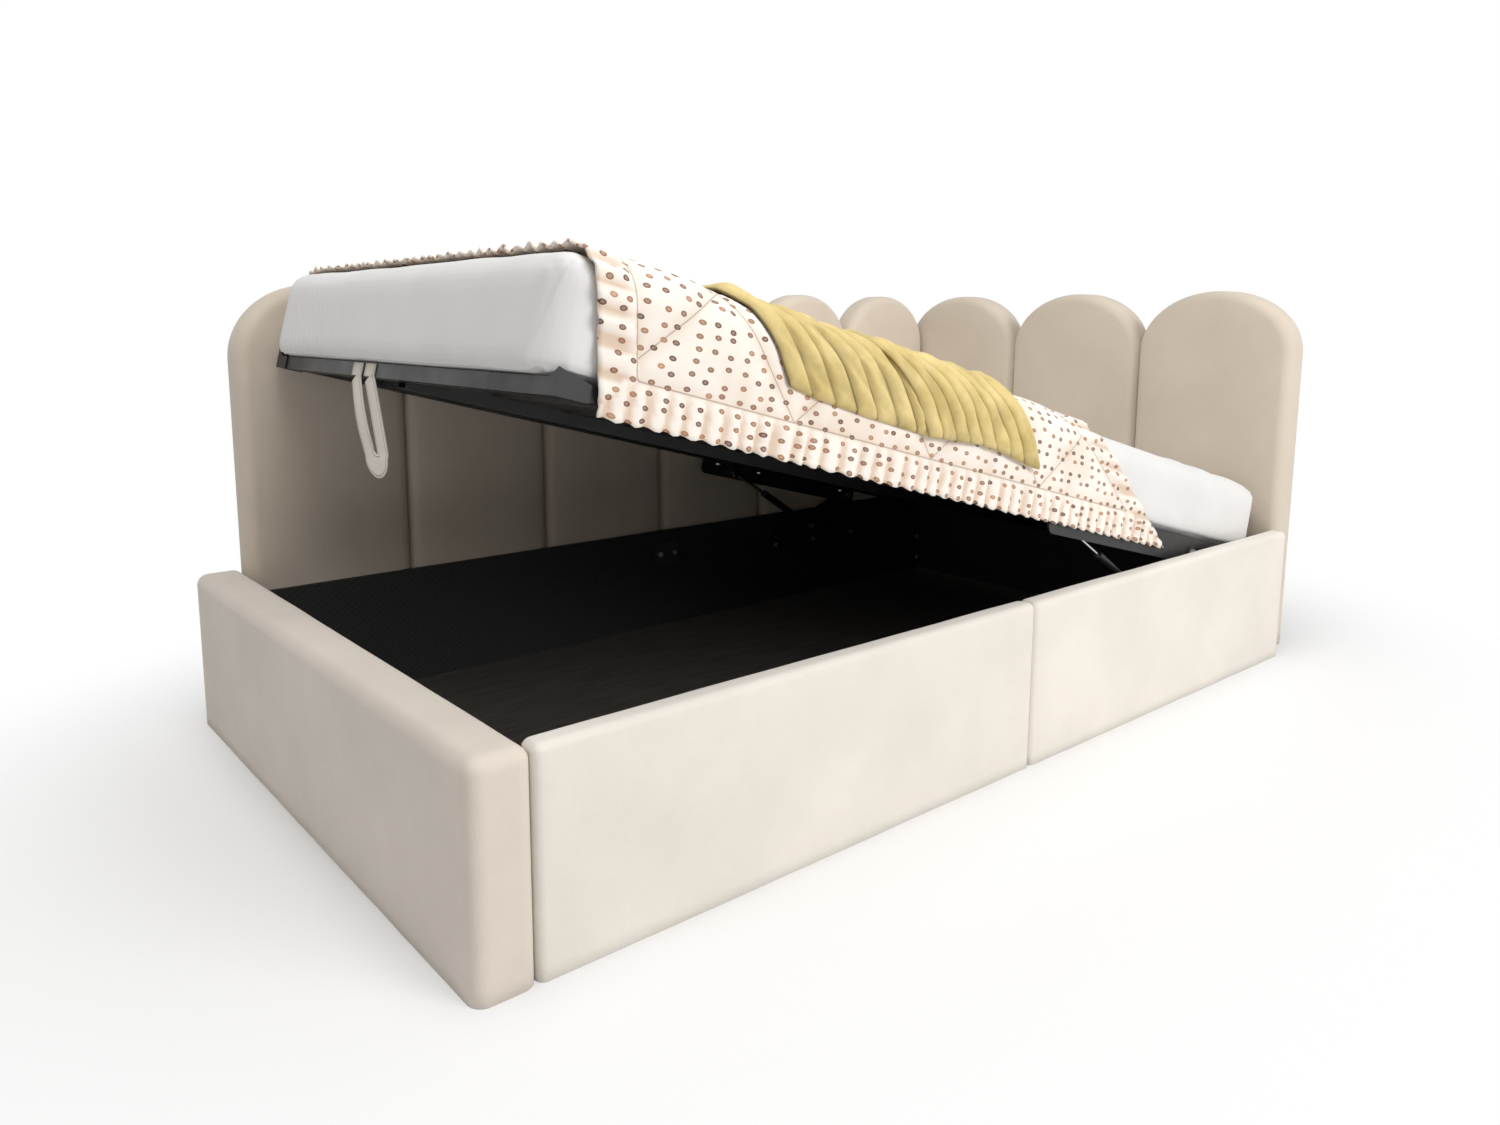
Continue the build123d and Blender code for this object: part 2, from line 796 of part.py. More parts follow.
sheet_grow = rest_gap + sheet_thick
sheet_outside = mattress_form(sheet_grow)
sheet_inside = mattress_form(rest_gap)
with BuildPart() as fitted_sheet:
    add(sheet_outside)
    add(sheet_inside, mode=Mode.SUBTRACT)
    with Locations(lift_plane):
        block(
            mattress_u0 - 2 * sheet_grow,
            mattress_u1 + 2 * sheet_grow,
            mattress_y0 - 2 * sheet_grow,
            mattress_y1 + 2 * sheet_grow,
            mattress_w0 - 2 * sheet_grow,
            mattress_w0 + sheet_hem,
            mode=Mode.SUBTRACT,
        )
save(fitted_sheet, "fitted_sheet")


# Quilt and throw: bands draped over the mattress, cut to the outlines of their near sides
def drape(near, far, top, radius, thick, near_low, far_low, outline, y_end):
    """Cloth over the mattress between two inner sides, as seen from the front in an outline."""
    low = top - mattress_crown - radius
    outer = radius + thick
    u0 = min(u for u, w in outline)
    u1 = max(u for u, w in outline)
    with BuildPart() as cloth:
        with BuildSketch(cross_plane(u0)):
            with BuildLine():
                Polyline((near, low), (near, near_low), (near - thick, near_low), (near - thick, low))
                CenterArc((near + radius, low), radius, 90, 90)
                CenterArc((near + radius, low), outer, 90, 90)
                shoulder = low + radius
                middle = (near + far) / 2
                ThreePointArc((near + radius, shoulder), (middle, top), (far - radius, shoulder))
                ThreePointArc(
                    (near + radius, shoulder + thick),
                    (middle, top + thick),
                    (far - radius, shoulder + thick),
                )
                CenterArc((far - radius, low), radius, 0, 90)
                CenterArc((far - radius, low), outer, 0, 90)
                Polyline((far, low), (far, far_low), (far + thick, far_low), (far + thick, low))
            make_face()
        extrude(amount=u1 - u0)
        with BuildSketch(side_plane(y_front)):
            with BuildLine():
                Polyline(*outline, close=True)
            make_face()
        extrude(amount=y_front - y_end, mode=Mode.INTERSECT)
    return cloth.part


cover_top = mattress_w1 + sheet_grow + rest_gap
cover_radius = mattress_side_round + sheet_grow + rest_gap
quilt_near = mattress_y0 - sheet_grow - quilt_side_gap
quilt_far = mattress_y1 + sheet_grow + quilt_back_gap
above_all = cover_top + 4 * quilt_thick
quilt_foot_top, quilt_foot_hem = (-1557, 194), (-1513, 7)
quilt_head_hem, quilt_head_top = (-128, -2), (-442, 181)


def along_edge(low_end, high_end, w):
    """The point of a slanted edge's line at one height."""
    share = (w - low_end[1]) / (high_end[1] - low_end[1])
    return (low_end[0] + share * (high_end[0] - low_end[0]), w)


quilt_outline = [
    along_edge(quilt_foot_hem, quilt_foot_top, above_all),
    quilt_foot_hem,
    quilt_head_hem,
    along_edge(quilt_head_hem, quilt_head_top, above_all),
]
quilt_top = drape(
    quilt_near,
    quilt_far,
    cover_top,
    cover_radius,
    quilt_thick,
    ruffle_top,
    quilt_back_low,
    quilt_outline,
    y_back,
)


def ruffle_outline(swing):
    """Fill a gathered hem seen from above: a band that swings to and fro."""
    count = int((quilt_head_hem[0] - quilt_foot_top[0]) / ruffle_pitch) + 1
    out = quilt_near - ruffle_thick / 2 - swing
    half_pitch = ruffle_pitch / 2
    with BuildLine() as edge:
        for side in (-ruffle_thick / 2, ruffle_thick / 2):
            for i in range(2 * count):
                u = quilt_foot_top[0] + i * half_pitch
                bulge = swing if i % 2 else -swing
                ThreePointArc((u, out + side), (u + half_pitch / 2, out + side + bulge), (u + half_pitch, out + side))
        for u in (quilt_foot_top[0], quilt_foot_top[0] + 2 * count * half_pitch):
            Line((u, out - ruffle_thick / 2), (u, out + ruffle_thick / 2))
    make_face(edge.edges())


with BuildPart() as ruffle:
    with BuildSketch(lift_plane.offset(ruffle_top)):
        ruffle_outline(ruffle_top_swing)
    with BuildSketch(lift_plane.offset(quilt_head_hem[1] - 1)):
        ruffle_outline(ruffle_swing)
    loft(ruled=True)
    with BuildSketch(side_plane(y_front)):
        with BuildLine():
            Polyline(*quilt_outline, close=True)
        make_face()
    extrude(amount=-bed_width, mode=Mode.INTERSECT)
with BuildPart() as quilt:
    add(quilt_top)
    add(ruffle.part)
save(quilt, "quilt")

throw_points = [
    (-1345, 193),
    (-1303, 180),
    (-1258, 138),
    (-1224, 95),
    (-1172, 89),
    (-1057, 84),
    (-927, 82),
    (-796, 93),
    (-734, 91),
    (-630, 79),
    (-662, 120),
    (-704, 160),
    (-741, 183),
]
throw_outline = [(-1345, above_all), *throw_points, (-741, above_all)]
fold_outline = [
    (-1100, above_all),
    (-1080, 201),
    (-1033, 176),
    (-974, 136),
    (-927, 82),
    *throw_points[7:],
    (-741, above_all),
]
throw_near = quilt_near - quilt_thick - throw_gap
throw_top = cover_top + quilt_thick + throw_gap
throw_end = throw_near + throw_reach
throw_layers = [
    drape(
        throw_near,
        quilt_far,
        throw_top,
        cover_radius + quilt_thick + throw_gap,
        thick,
        throw_low,
        quilt_back_low,
        outline,
        throw_end,
    )
    for thick, outline in ((throw_thick, throw_outline), (throw_thick + throw_fold, fold_outline))
]
with BuildPart() as throw_blanket:
    add(throw_layers)
save(throw_blanket, "throw_blanket")

# Pull strap: two webbing ends on the foot bar, and the loop that swings below them
strap_inner = strap_gap / 2
strap_outer = strap_inner + strap_width
with BuildPart(lift_plane) as strap_anchor:
    for side in (-1, 1):
        ys = sorted((strap_centre + side * strap_inner, strap_centre + side * strap_outer))
        block(-frame_foot - strap_thick, -frame_foot, *ys, foot_bar_low, tube_high)
save(strap_anchor, "strap_anchor")

strap_hinge = lift_point(-frame_foot - strap_thick / 2, strap_centre, foot_bar_low - strap_hang_gap)
strap_origin = strap_hinge + Vector(strap_thick / 2, 0, 0)
strap_plane = Plane(origin=strap_origin, x_dir=(0, -1, 0), z_dir=(-1, 0, 0))
leg_drop = strap_drop - strap_round
leg_lean = strap_lean * leg_drop / strap_drop
with BuildPart() as pull_strap:
    with BuildSketch(strap_plane):
        with BuildLine():
            Polyline(
                (leg_lean + strap_outer, -leg_drop),
                (strap_outer, 0),
                (strap_inner, 0),
                (leg_lean + strap_inner, -leg_drop),
            )
            ThreePointArc(
                (leg_lean + strap_inner, -leg_drop),
                (leg_lean, -leg_drop - strap_inner),
                (leg_lean - strap_inner, -leg_drop),
            )
            Polyline(
                (leg_lean - strap_inner, -leg_drop),
                (-strap_inner, 0),
                (-strap_outer, 0),
                (leg_lean - strap_outer, -leg_drop),
            )
            ThreePointArc(
                (leg_lean - strap_outer, -leg_drop),
                (leg_lean + (strap_lean - leg_lean) / 2, -strap_drop),
                (leg_lean + strap_outer, -leg_drop),
            )
        make_face()
    extrude(amount=strap_thick)
save(pull_strap, "pull_strap")

print("pivot", x_pivot, pivot_height)
print("lower bolt", bolt_spot, "stud", stud_spot, "strut length", strut_length)
print("strap hinge", strap_hinge)
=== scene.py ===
# %% [markdown]
# A child's storage bed whose slatted platform and bedding lift on gas struts over a lined
# box. The boards, tubes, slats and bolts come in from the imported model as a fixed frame. The
# soft things, which a solid can only block out, are modelled here in the same metres.
# %% Load the frame
import json
import math

import bmesh
import bpy
from mathutils import Matrix, Vector, noise


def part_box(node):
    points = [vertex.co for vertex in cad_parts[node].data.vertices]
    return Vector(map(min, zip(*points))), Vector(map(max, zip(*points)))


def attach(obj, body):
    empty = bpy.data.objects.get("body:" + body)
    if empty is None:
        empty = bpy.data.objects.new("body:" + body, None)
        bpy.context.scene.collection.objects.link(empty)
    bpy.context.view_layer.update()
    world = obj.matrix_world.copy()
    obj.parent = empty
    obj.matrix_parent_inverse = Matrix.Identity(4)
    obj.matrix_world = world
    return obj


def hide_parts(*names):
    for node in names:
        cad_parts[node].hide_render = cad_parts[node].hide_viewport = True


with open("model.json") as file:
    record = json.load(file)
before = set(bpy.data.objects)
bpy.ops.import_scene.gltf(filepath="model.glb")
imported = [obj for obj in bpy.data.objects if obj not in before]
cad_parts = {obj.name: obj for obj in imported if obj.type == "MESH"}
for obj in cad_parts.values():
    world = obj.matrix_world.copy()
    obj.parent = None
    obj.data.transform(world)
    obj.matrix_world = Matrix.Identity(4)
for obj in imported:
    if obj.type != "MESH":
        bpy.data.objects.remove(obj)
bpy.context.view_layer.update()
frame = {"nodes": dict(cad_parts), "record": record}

print("frame", len(frame["nodes"]), "nodes")

# %% [markdown]
# The bedding lies on a platform that turns about a bolt near the head end. It is easier to
# model a mattress lying flat, so everything on the platform is shaped along the platform
# (u along it, y across, w up) and turned into place by one matrix at the end.
# %% Platform axes
tilt = math.radians(14.18)
along = Vector((math.cos(tilt), 0, -math.sin(tilt)))
upward = Vector((math.sin(tilt), 0, math.cos(tilt)))
platform_place = Matrix.Translation((0.6305, 0, 0.2778)) @ Matrix(
    ((along.x, 0, upward.x, 0), (0, 1, 0, 0), (along.z, 0, upward.z, 0), (0, 0, 0, 1))
)
print("platform turned by", round(math.degrees(tilt), 2), "degrees")


# %% [markdown]
# Small curves used again and again: a smooth step, a line through measured points, and the
# irregular wave that gathered cloth makes, where no two folds have the same width.
# %% Shaping curves
def smooth(low, high, value):
    part = min(max((value - low) / (high - low), 0), 1)
    return part * part * (3 - 2 * part)


def through(points, value):
    for (a, x), (b, y) in zip(points, points[1:]):
        if value <= b:
            return x + (y - x) * max(value - a, 0) / (b - a)
    return points[-1][1]


def gathers(place, pitch, seed):
    wide_drift = noise.noise(Vector((place * 9, seed, 0.3))) * 4.5
    close_drift = noise.noise(Vector((place * 31, seed, 1.7))) * 1.2
    return math.sin(2 * math.pi * place / pitch + wide_drift + close_drift)


print("half way up the step", smooth(0, 1, 0.5))

# %% [markdown]
# A finish is a Principled shader with a little procedural detail. Fabric needs a bump at the
# scale of its pile or weave and a soft, uneven colour. The helpers below make the nodes that
# most finishes share, and each finish then adds what is its own.
# %% Finish helpers
finishes = {}


def start_finish(name, colour, roughness, **sockets):
    material = bpy.data.materials.new(name)
    material.use_nodes = True
    nodes = material.node_tree.nodes
    shader = nodes["Principled BSDF"]
    shader.inputs["Base Color"].default_value = (*colour, 1)
    shader.inputs["Roughness"].default_value = roughness
    for socket, value in sockets.items():
        shader.inputs[socket.replace("_", " ")].default_value = value
    material.diffuse_color = (*colour, 1)
    finishes[name] = material
    return material.node_tree, shader


def node(tree, kind, **settings):
    made = tree.nodes.new(kind)
    for key, value in settings.items():
        if hasattr(made, key):
            setattr(made, key, value)
        else:
            made.inputs[key].default_value = value
    return made


def join(tree, source, target):
    tree.links.new(source, target)


def coordinates(tree, stretch=(1, 1, 1), kind="Object", turn=(0, 0, 0)):
    source = node(tree, "ShaderNodeTexCoord")
    mapping = node(tree, "ShaderNodeMapping")
    mapping.inputs["Scale"].default_value = stretch
    mapping.inputs["Rotation"].default_value = turn
    join(tree, source.outputs[kind], mapping.inputs["Vector"])
    return mapping.outputs["Vector"]


def blotches(tree, place, scale, detail=3.0, rough=0.55):
    texture = node(tree, "ShaderNodeTexNoise", Scale=scale, Detail=detail, Roughness=rough)
    join(tree, place, texture.inputs["Vector"])
    return texture.outputs["Fac"]


def shades(tree, factor, dark, light, low=0.3, high=0.7):
    ramp = node(tree, "ShaderNodeValToRGB")
    ramp.color_ramp.elements[0].position = low
    ramp.color_ramp.elements[0].color = (*dark, 1)
    ramp.color_ramp.elements[1].position = high
    ramp.color_ramp.elements[1].color = (*light, 1)
    join(tree, factor, ramp.inputs["Fac"])
    return ramp.outputs["Color"]


def coloured(tree, shader, *ramp):
    join(tree, shades(tree, *ramp), shader.inputs["Base Color"])


def relief(tree, shader, height, strength, distance, after=None):
    bump = node(tree, "ShaderNodeBump", Strength=strength, Distance=distance)
    join(tree, height, bump.inputs["Height"])
    if after is not None:
        join(tree, after, bump.inputs["Normal"])
    join(tree, bump.outputs["Normal"], shader.inputs["Normal"])
    return bump.outputs["Normal"]


def tint(colour, factor):
    return tuple(min(channel * factor, 1) for channel in colour)


print("finish helpers ready")

# %% [markdown]
# The boards wear a short-pile upholstery fabric. Close up, the pile is a fine speckle that
# catches light softly, so the finish has sheen, a high roughness and two sizes of noise. The
# foot board, the rail and the arches are the same cloth in three tints: the foot board's and
# the arches' tints are darker than the rail's, which is painted shade.
# %% Upholstery finishes
# Painted shade: the foot board and arch tints are the rail's cloth made darker.
for name, colour in (
    ("foot_upholstery", (0.665, 0.6, 0.525)),
    ("rail_upholstery", (0.75, 0.705, 0.645)),
    ("panel_upholstery", (0.62, 0.54, 0.445)),
):
    tree, shader = start_finish(name, colour, 0.9, Sheen_Weight=0.25, Sheen_Roughness=0.5)
    place = coordinates(tree)
    soft = blotches(tree, place, 5, 4)
    coloured(tree, shader, soft, tint(colour, 0.94), tint(colour, 1.05))
    pile = blotches(tree, place, 420, 2, 0.7)
    first = relief(tree, shader, pile, 0.35, 0.0012)
    slack = blotches(tree, coordinates(tree, (1, 1, 0.35)), 26, 3)
    relief(tree, shader, slack, 0.25, 0.004, first)
print("upholstery", len(finishes))

# %% [markdown]
# The box is lined with black board that has a basket-weave grain: tiny raised dots in rows.
# A Voronoi cell pattern with little randomness gives the rows, and the bump makes them dots.
# %% Liner and floor boards
tree, shader = start_finish("liner_board", (0.016, 0.015, 0.015), 0.6, Specular_IOR_Level=0.35)
dots = node(tree, "ShaderNodeTexVoronoi", Scale=210.0, Randomness=0.12)
join(tree, coordinates(tree, turn=(0.6, 0.5, 0.3)), dots.inputs["Vector"])
coloured(tree, shader, dots.outputs["Distance"], (0.03, 0.029, 0.028), (0.009, 0.009, 0.009), 0.15, 0.6)
relief(tree, shader, dots.outputs["Distance"], 0.5, 0.001)

tree, shader = start_finish("floor_board", (0.075, 0.068, 0.06), 0.65)
grain = blotches(tree, coordinates(tree, (2, 22, 22)), 5, 6)
coloured(tree, shader, grain, (0.05, 0.045, 0.04), (0.1, 0.09, 0.08))
relief(tree, shader, grain, 0.3, 0.001)
print("liner and floor ready")

# %% [markdown]
# Wood appears where no one looks: the cores of the boards and the slats, edge on from the
# front. Long stretched noise along the grain is enough for both.
# %% Wood
for name, colour, stretch in (
    ("board_wood", (0.5, 0.36, 0.22), (3, 30, 30)),
    ("slat_wood", (0.042, 0.037, 0.032), (40, 2, 40)),
):
    tree, shader = start_finish(name, colour, 0.55)
    grain = blotches(tree, coordinates(tree, stretch), 3, 8, 0.6)
    coloured(tree, shader, grain, tint(colour, 0.75), tint(colour, 1.15))
    relief(tree, shader, grain, 0.25, 0.0008)
print("wood ready")

# %% [markdown]
# The lifting frame is powder-coated steel: nearly black, with the orange-peel skin of baked
# powder and a satin gloss. Bolts are zinc plated and the struts' rods are hard chrome. On
# bare metal the roughness varies a little with handling, which a plain grey never shows.
# %% Metals
for name, colour, metallic, roughness, bumps in (
    ("black_steel", (0.014, 0.014, 0.015), 0.0, 0.42, 0.1),
    ("strut_paint", (0.012, 0.012, 0.013), 0.0, 0.3, 0.05),
    ("black_plastic", (0.02, 0.02, 0.02), 0.0, 0.55, 0.15),
    ("bright_steel", (0.62, 0.62, 0.64), 1.0, 0.32, 0.08),
    ("rod_chrome", (0.75, 0.75, 0.77), 1.0, 0.1, 0.02),
):
    tree, shader = start_finish(name, colour, roughness, Metallic=metallic)
    place = coordinates(tree)
    wear = blotches(tree, place, 14, 5)
    polished, dulled = (roughness * 0.8,) * 3, (min(roughness * 1.25, 1),) * 3
    join(tree, shades(tree, wear, polished, dulled), shader.inputs["Roughness"])
    coloured(tree, shader, wear, tint(colour, 0.88), tint(colour, 1.12))
    relief(tree, shader, blotches(tree, place, 600, 1), bumps, 0.0004)
print("metals ready")

# %% [markdown]
# Plain cloths. Sheets and mattress cover are white cotton with a fine weave, the back of the
# boards is black spunbonded cloth, and the strap is ribbed webbing with two stitch lines,
# which follow the strap because its finish reads the strap's own UV map.
# %% Plain cloths
for name, colour, weave in (
    ("sheet_cotton", (0.73, 0.725, 0.72), 900),
    ("mattress_cloth", (0.76, 0.755, 0.75), 500),
    ("back_cloth", (0.02, 0.02, 0.02), 700),
):
    tree, shader = start_finish(name, colour, 0.85, Sheen_Weight=0.1)
    place = coordinates(tree)
    coloured(tree, shader, blotches(tree, place, 7), tint(colour, 0.97), tint(colour, 1.03))
    first = relief(tree, shader, blotches(tree, place, weave, 1), 0.12, 0.0006)
    relief(tree, shader, blotches(tree, place, 18, 3), 0.18, 0.003, first)

tree, shader = start_finish("webbing", (0.78, 0.73, 0.65), 0.85, Sheen_Weight=0.15)
ribs = node(tree, "ShaderNodeTexWave", Scale=0.35, Distortion=0.4)
ribs.bands_direction = "X"
join(tree, coordinates(tree, (1000, 1000, 1), "UV"), ribs.inputs["Vector"])
split = node(tree, "ShaderNodeSeparateXYZ")
join(tree, coordinates(tree, kind="UV"), split.inputs["Vector"])
middle = node(tree, "ShaderNodeMath", operation="ABSOLUTE")
join(tree, split.outputs["Y"], middle.inputs[0])
on_stitch = node(tree, "ShaderNodeMath", operation="COMPARE")
stitch_row, half_a_stitch = 0.0145, 0.0008
on_stitch.inputs[1].default_value = stitch_row
on_stitch.inputs[2].default_value = half_a_stitch
join(tree, middle.outputs[0], on_stitch.inputs[0])
coloured(tree, shader, on_stitch.outputs[0], (0.78, 0.73, 0.65), (0.33, 0.29, 0.24), 0.4, 0.6)
relief(tree, shader, ribs.outputs["Fac"], 0.3, 0.0006)
print("plain cloths ready")

# %% [markdown]
# The quilt is cream cotton printed with small brown ovals in staggered, slightly tossed rows.
# Voronoi cells over the cloth's UV map, which is in metres on the flat cloth, give one oval
# to each cell, and the cell's random colour makes some ovals darker than others. Stitching is
# a thin line in the finish: two sets of slanting lines on the UV map, and one round the
# border, where the distance that the cloth carries as an attribute is nought. A second
# attribute says how deep in a fold the cloth is, and the finish darkens the cloth there to a
# warm tan: painted shade in the folds and along the seams.
# %% Quilt finish
tree, shader = start_finish("quilt_cotton", (0.85, 0.77, 0.69), 0.85, Sheen_Weight=0.12)
cells = node(tree, "ShaderNodeTexVoronoi", voronoi_dimensions="2D", Scale=1.0, Randomness=0.5)
ovals_apart, rows_apart = 0.0285, 0.0178
join(tree, coordinates(tree, (1 / ovals_apart, 1 / rows_apart, 1), "UV"), cells.inputs["Vector"])
oval = node(tree, "ShaderNodeValToRGB")
marks = oval.color_ramp.elements
marks[0].position, marks[0].color = 0.0, (0.75, 0.75, 0.75, 1)
marks[1].position, marks[1].color = 0.2, (0, 0, 0, 1)
for position, value in ((0.1, 0.8), (0.135, 1.0), (0.18, 1.0)):
    marks.new(position).color = (value, value, value, 1)
join(tree, cells.outputs["Distance"], oval.inputs["Fac"])
split = node(tree, "ShaderNodeSeparateColor")
join(tree, cells.outputs["Color"], split.inputs["Color"])
brown = shades(tree, split.outputs["Red"], (0.12, 0.04, 0.018), (0.48, 0.25, 0.13), 0.1, 0.95)
cream = shades(tree, blotches(tree, coordinates(tree), 9), (0.87, 0.8, 0.73), (0.92, 0.86, 0.79))
print_mix = node(tree, "ShaderNodeMix", data_type="RGBA")
join(tree, oval.outputs["Color"], print_mix.inputs[0])
join(tree, cream, print_mix.inputs[6])
join(tree, brown, print_mix.inputs[7])


def sums(tree, operation, first, second=None):
    made = node(tree, "ShaderNodeMath", operation=operation)
    for socket, value in zip(made.inputs, (first, second)):
        if isinstance(value, (int, float)):
            socket.default_value = value
        elif value is not None:
            join(tree, value, socket)
    return made.outputs[0]


diamond, diamond_start = 0.3, 1.4985
border, hem_seam, head_border = 0.056, 0.053, 0.075
stitch_width, line_share = 0.0011, 0.4955
flat = node(tree, "ShaderNodeSeparateXYZ")
join(tree, coordinates(tree, kind="UV"), flat.inputs["Vector"])
inside = node(tree, "ShaderNodeAttribute", attribute_name="inside").outputs["Fac"]
line = sums(tree, "LESS_THAN", sums(tree, "ABSOLUTE", inside), stitch_width)
for turn in (-1, 1):
    walked = sums(tree, "MULTIPLY", sums(tree, "SUBTRACT", flat.outputs["Y"], hem_seam), turn)
    slanting = sums(tree, "ADD", sums(tree, "ADD", flat.outputs["X"], diamond_start), walked)
    in_diamond = sums(tree, "FRACT", sums(tree, "ADD", sums(tree, "DIVIDE", slanting, diamond), 10))
    off_middle = sums(tree, "ABSOLUTE", sums(tree, "SUBTRACT", in_diamond, 0.5))
    on_line = sums(tree, "GREATER_THAN", off_middle, line_share)
    drawn = sums(tree, "MULTIPLY", on_line, sums(tree, "GREATER_THAN", inside, 0))
    line = sums(tree, "MAXIMUM", line, drawn)
painted_fold_shade = node(tree, "ShaderNodeAttribute", attribute_name="painted_fold_shade").outputs["Fac"]
# Painted shade: the fold attribute multiplies the printed cloth by a warm tan where it lies deep in a fold.
shaded_in_folds = node(tree, "ShaderNodeMix", data_type="RGBA", blend_type="MULTIPLY")
join(tree, painted_fold_shade, shaded_in_folds.inputs[0])
join(tree, print_mix.outputs[2], shaded_in_folds.inputs[6])
shaded_in_folds.inputs[7].default_value = (0.72, 0.56, 0.44, 1)
stitched_and_shaded = node(tree, "ShaderNodeMix", data_type="RGBA")
join(tree, sums(tree, "MULTIPLY", line, 0.6), stitched_and_shaded.inputs[0])
join(tree, shaded_in_folds.outputs[2], stitched_and_shaded.inputs[6])
stitched_and_shaded.inputs[7].default_value = (0.3, 0.22, 0.16, 1)
join(tree, stitched_and_shaded.outputs[2], shader.inputs["Base Color"])
first = relief(tree, shader, blotches(tree, coordinates(tree), 800, 1), 0.12, 0.0006)
relief(tree, shader, blotches(tree, coordinates(tree, (1, 1, 1)), 32, 4), 0.35, 0.004, first)
print("quilt finish ready")

# %% [markdown]
# The throw is olive-gold velvet. Velvet is bright where its pile leans towards the light and
# at grazing angles, so the finish has a strong, warm sheen over a fairly dark base. The seam
# attribute darkens the sewn seams, and adds painted shade that fades into the channels beside
# them and lies in the low wrinkles.
# %% Throw finish
tree, shader = start_finish("throw_velvet", (0.64, 0.5, 0.2), 0.6, Sheen_Weight=0.5, Sheen_Roughness=0.35)
shader.inputs["Sheen Tint"].default_value = (1.0, 0.86, 0.5, 1)
crush = blotches(tree, coordinates(tree, (1, 1, 1)), 22, 5)
velvet = shades(tree, crush, (0.56, 0.43, 0.15), (0.76, 0.61, 0.27))
# Dark seam lines, with painted shade in the channels and wrinkles, come from the seam attribute.
seam_and_shade = node(tree, "ShaderNodeAttribute", attribute_name="seam_and_shade")
stitched_and_shaded = node(tree, "ShaderNodeMix", data_type="RGBA")
join(tree, seam_and_shade.outputs["Fac"], stitched_and_shaded.inputs[0])
join(tree, velvet, stitched_and_shaded.inputs[6])
stitched_and_shaded.inputs[7].default_value = (0.12, 0.08, 0.02, 1)
join(tree, stitched_and_shaded.outputs[2], shader.inputs["Base Color"])
first = relief(tree, shader, blotches(tree, coordinates(tree), 500, 1), 0.15, 0.0006)
relief(tree, shader, crush, 0.4, 0.004, first)
print("throw finish ready")

# %% [markdown]
# Each hard part that the frame brings in keeps its shape and takes the finish named in the
# record's list of parts, so the two can't drift apart.
# %% Finish the frame's own parts
slots = {part["node"]: part["material_slot"] for part in frame["record"]["subparts"]}
for name, slot_name in slots.items():
    part = frame["nodes"][name]
    part.data.materials.clear()
    part.data.materials.append(finishes[slot_name])
print("finished", len(slots), "parts")


# %% [markdown]
# Every new piece goes the same last steps: its faces turned outwards, smooth shading, its
# finish, the body it moves with, and the blocked-out part that it stands for.
# %% Put a piece in place
def settle(shape, name, finish, body, *stands_for, place=None):
    if place is not None:
        bmesh.ops.transform(shape, matrix=place, verts=shape.verts)
    bmesh.ops.recalc_face_normals(shape, faces=shape.faces)
    mesh = bpy.data.meshes.new(name)
    shape.to_mesh(mesh)
    shape.free()
    mesh.polygons.foreach_set("use_smooth", [True] * len(mesh.polygons))
    mesh.materials.append(finishes[finish])
    piece = bpy.data.objects.new(name, mesh)
    bpy.context.scene.collection.objects.link(piece)
    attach(piece, body)
    if stands_for:
        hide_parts(*stands_for)
    print(name, len(mesh.polygons), "faces")
    return piece


def everything(shape):
    return shape.verts[:] + shape.edges[:] + shape.faces[:]


def slice_up(shape, axis, low, high, step):
    count = max(int(round((high - low) / step)), 1)
    for i in range(1, count):
        point, normal = Vector((0, 0, 0)), Vector((0, 0, 0))
        point[axis], normal[axis] = low + (high - low) * i / count, 1
        bmesh.ops.bisect_plane(shape, geom=everything(shape), dist=1e-6, plane_co=point, plane_no=normal)


# %% [markdown]
# The foot board and the two lengths of the front rail are boards wrapped in foam and cloth.
# A real upholsterer pulls the cloth round the corners, which leaves them round and the faces
# very slightly full. A bevelled cube has those corners. It is sliced into small squares, and
# the faces are then pushed out a little in the middle and made a touch uneven.
# %% Padded boards
def padded_board(name, finish, stands_for, rounding, full):
    low, high = (Vector(corner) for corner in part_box(stands_for))
    size, centre = high - low, (low + high) / 2
    board = bmesh.new()
    bmesh.ops.create_cube(board, size=1)
    bmesh.ops.scale(board, vec=size, verts=board.verts)
    bmesh.ops.translate(board, vec=centre, verts=board.verts)
    soft = [e for e in board.edges if max(v.co.z for v in e.verts) > centre.z]
    bmesh.ops.bevel(
        board,
        geom=soft,
        offset=rounding,
        offset_type="OFFSET",
        segments=7,
        profile=0.5,
        affect="EDGES",
        material=-1,
    )
    for axis in range(3):
        slice_up(board, axis, low[axis], high[axis], 0.02)
    thin = 0 if size.x < size.y else 1
    long = 1 - thin
    for v in board.verts:
        across = (v.co[long] - low[long]) / size[long]
        up = (v.co.z - low.z) / size.z
        middle = smooth(0, 0.12, min(across, 1 - across)) * smooth(0, 0.3, min(up, 1 - up) + 0.02)
        side = (v.co[thin] - centre[thin]) / (size[thin] / 2)
        uneven = noise.noise(v.co * 5) * 0.0012 + noise.noise(v.co * 17) * 0.0005
        v.co[thin] += side ** 3 * (full * middle + uneven * smooth(0, 0.05, min(across, 1 - across)))
        if up > 0.9:
            v.co.z += (noise.noise(v.co * 7) * 0.001) * smooth(0.9, 1, up)
    piece = settle(board, name, finish, "bed_frame", stands_for)
    return piece


padded_board("foot_board_padding", "foot_upholstery", "foot_board_cover", 0.02, 0.002)
padded_board("front_rail_padding_a", "rail_upholstery", "front_rail_cover_a", 0.0115, 0.002)
padded_board("front_rail_padding_b", "rail_upholstery", "front_rail_cover_b", 0.0115, 0.002)


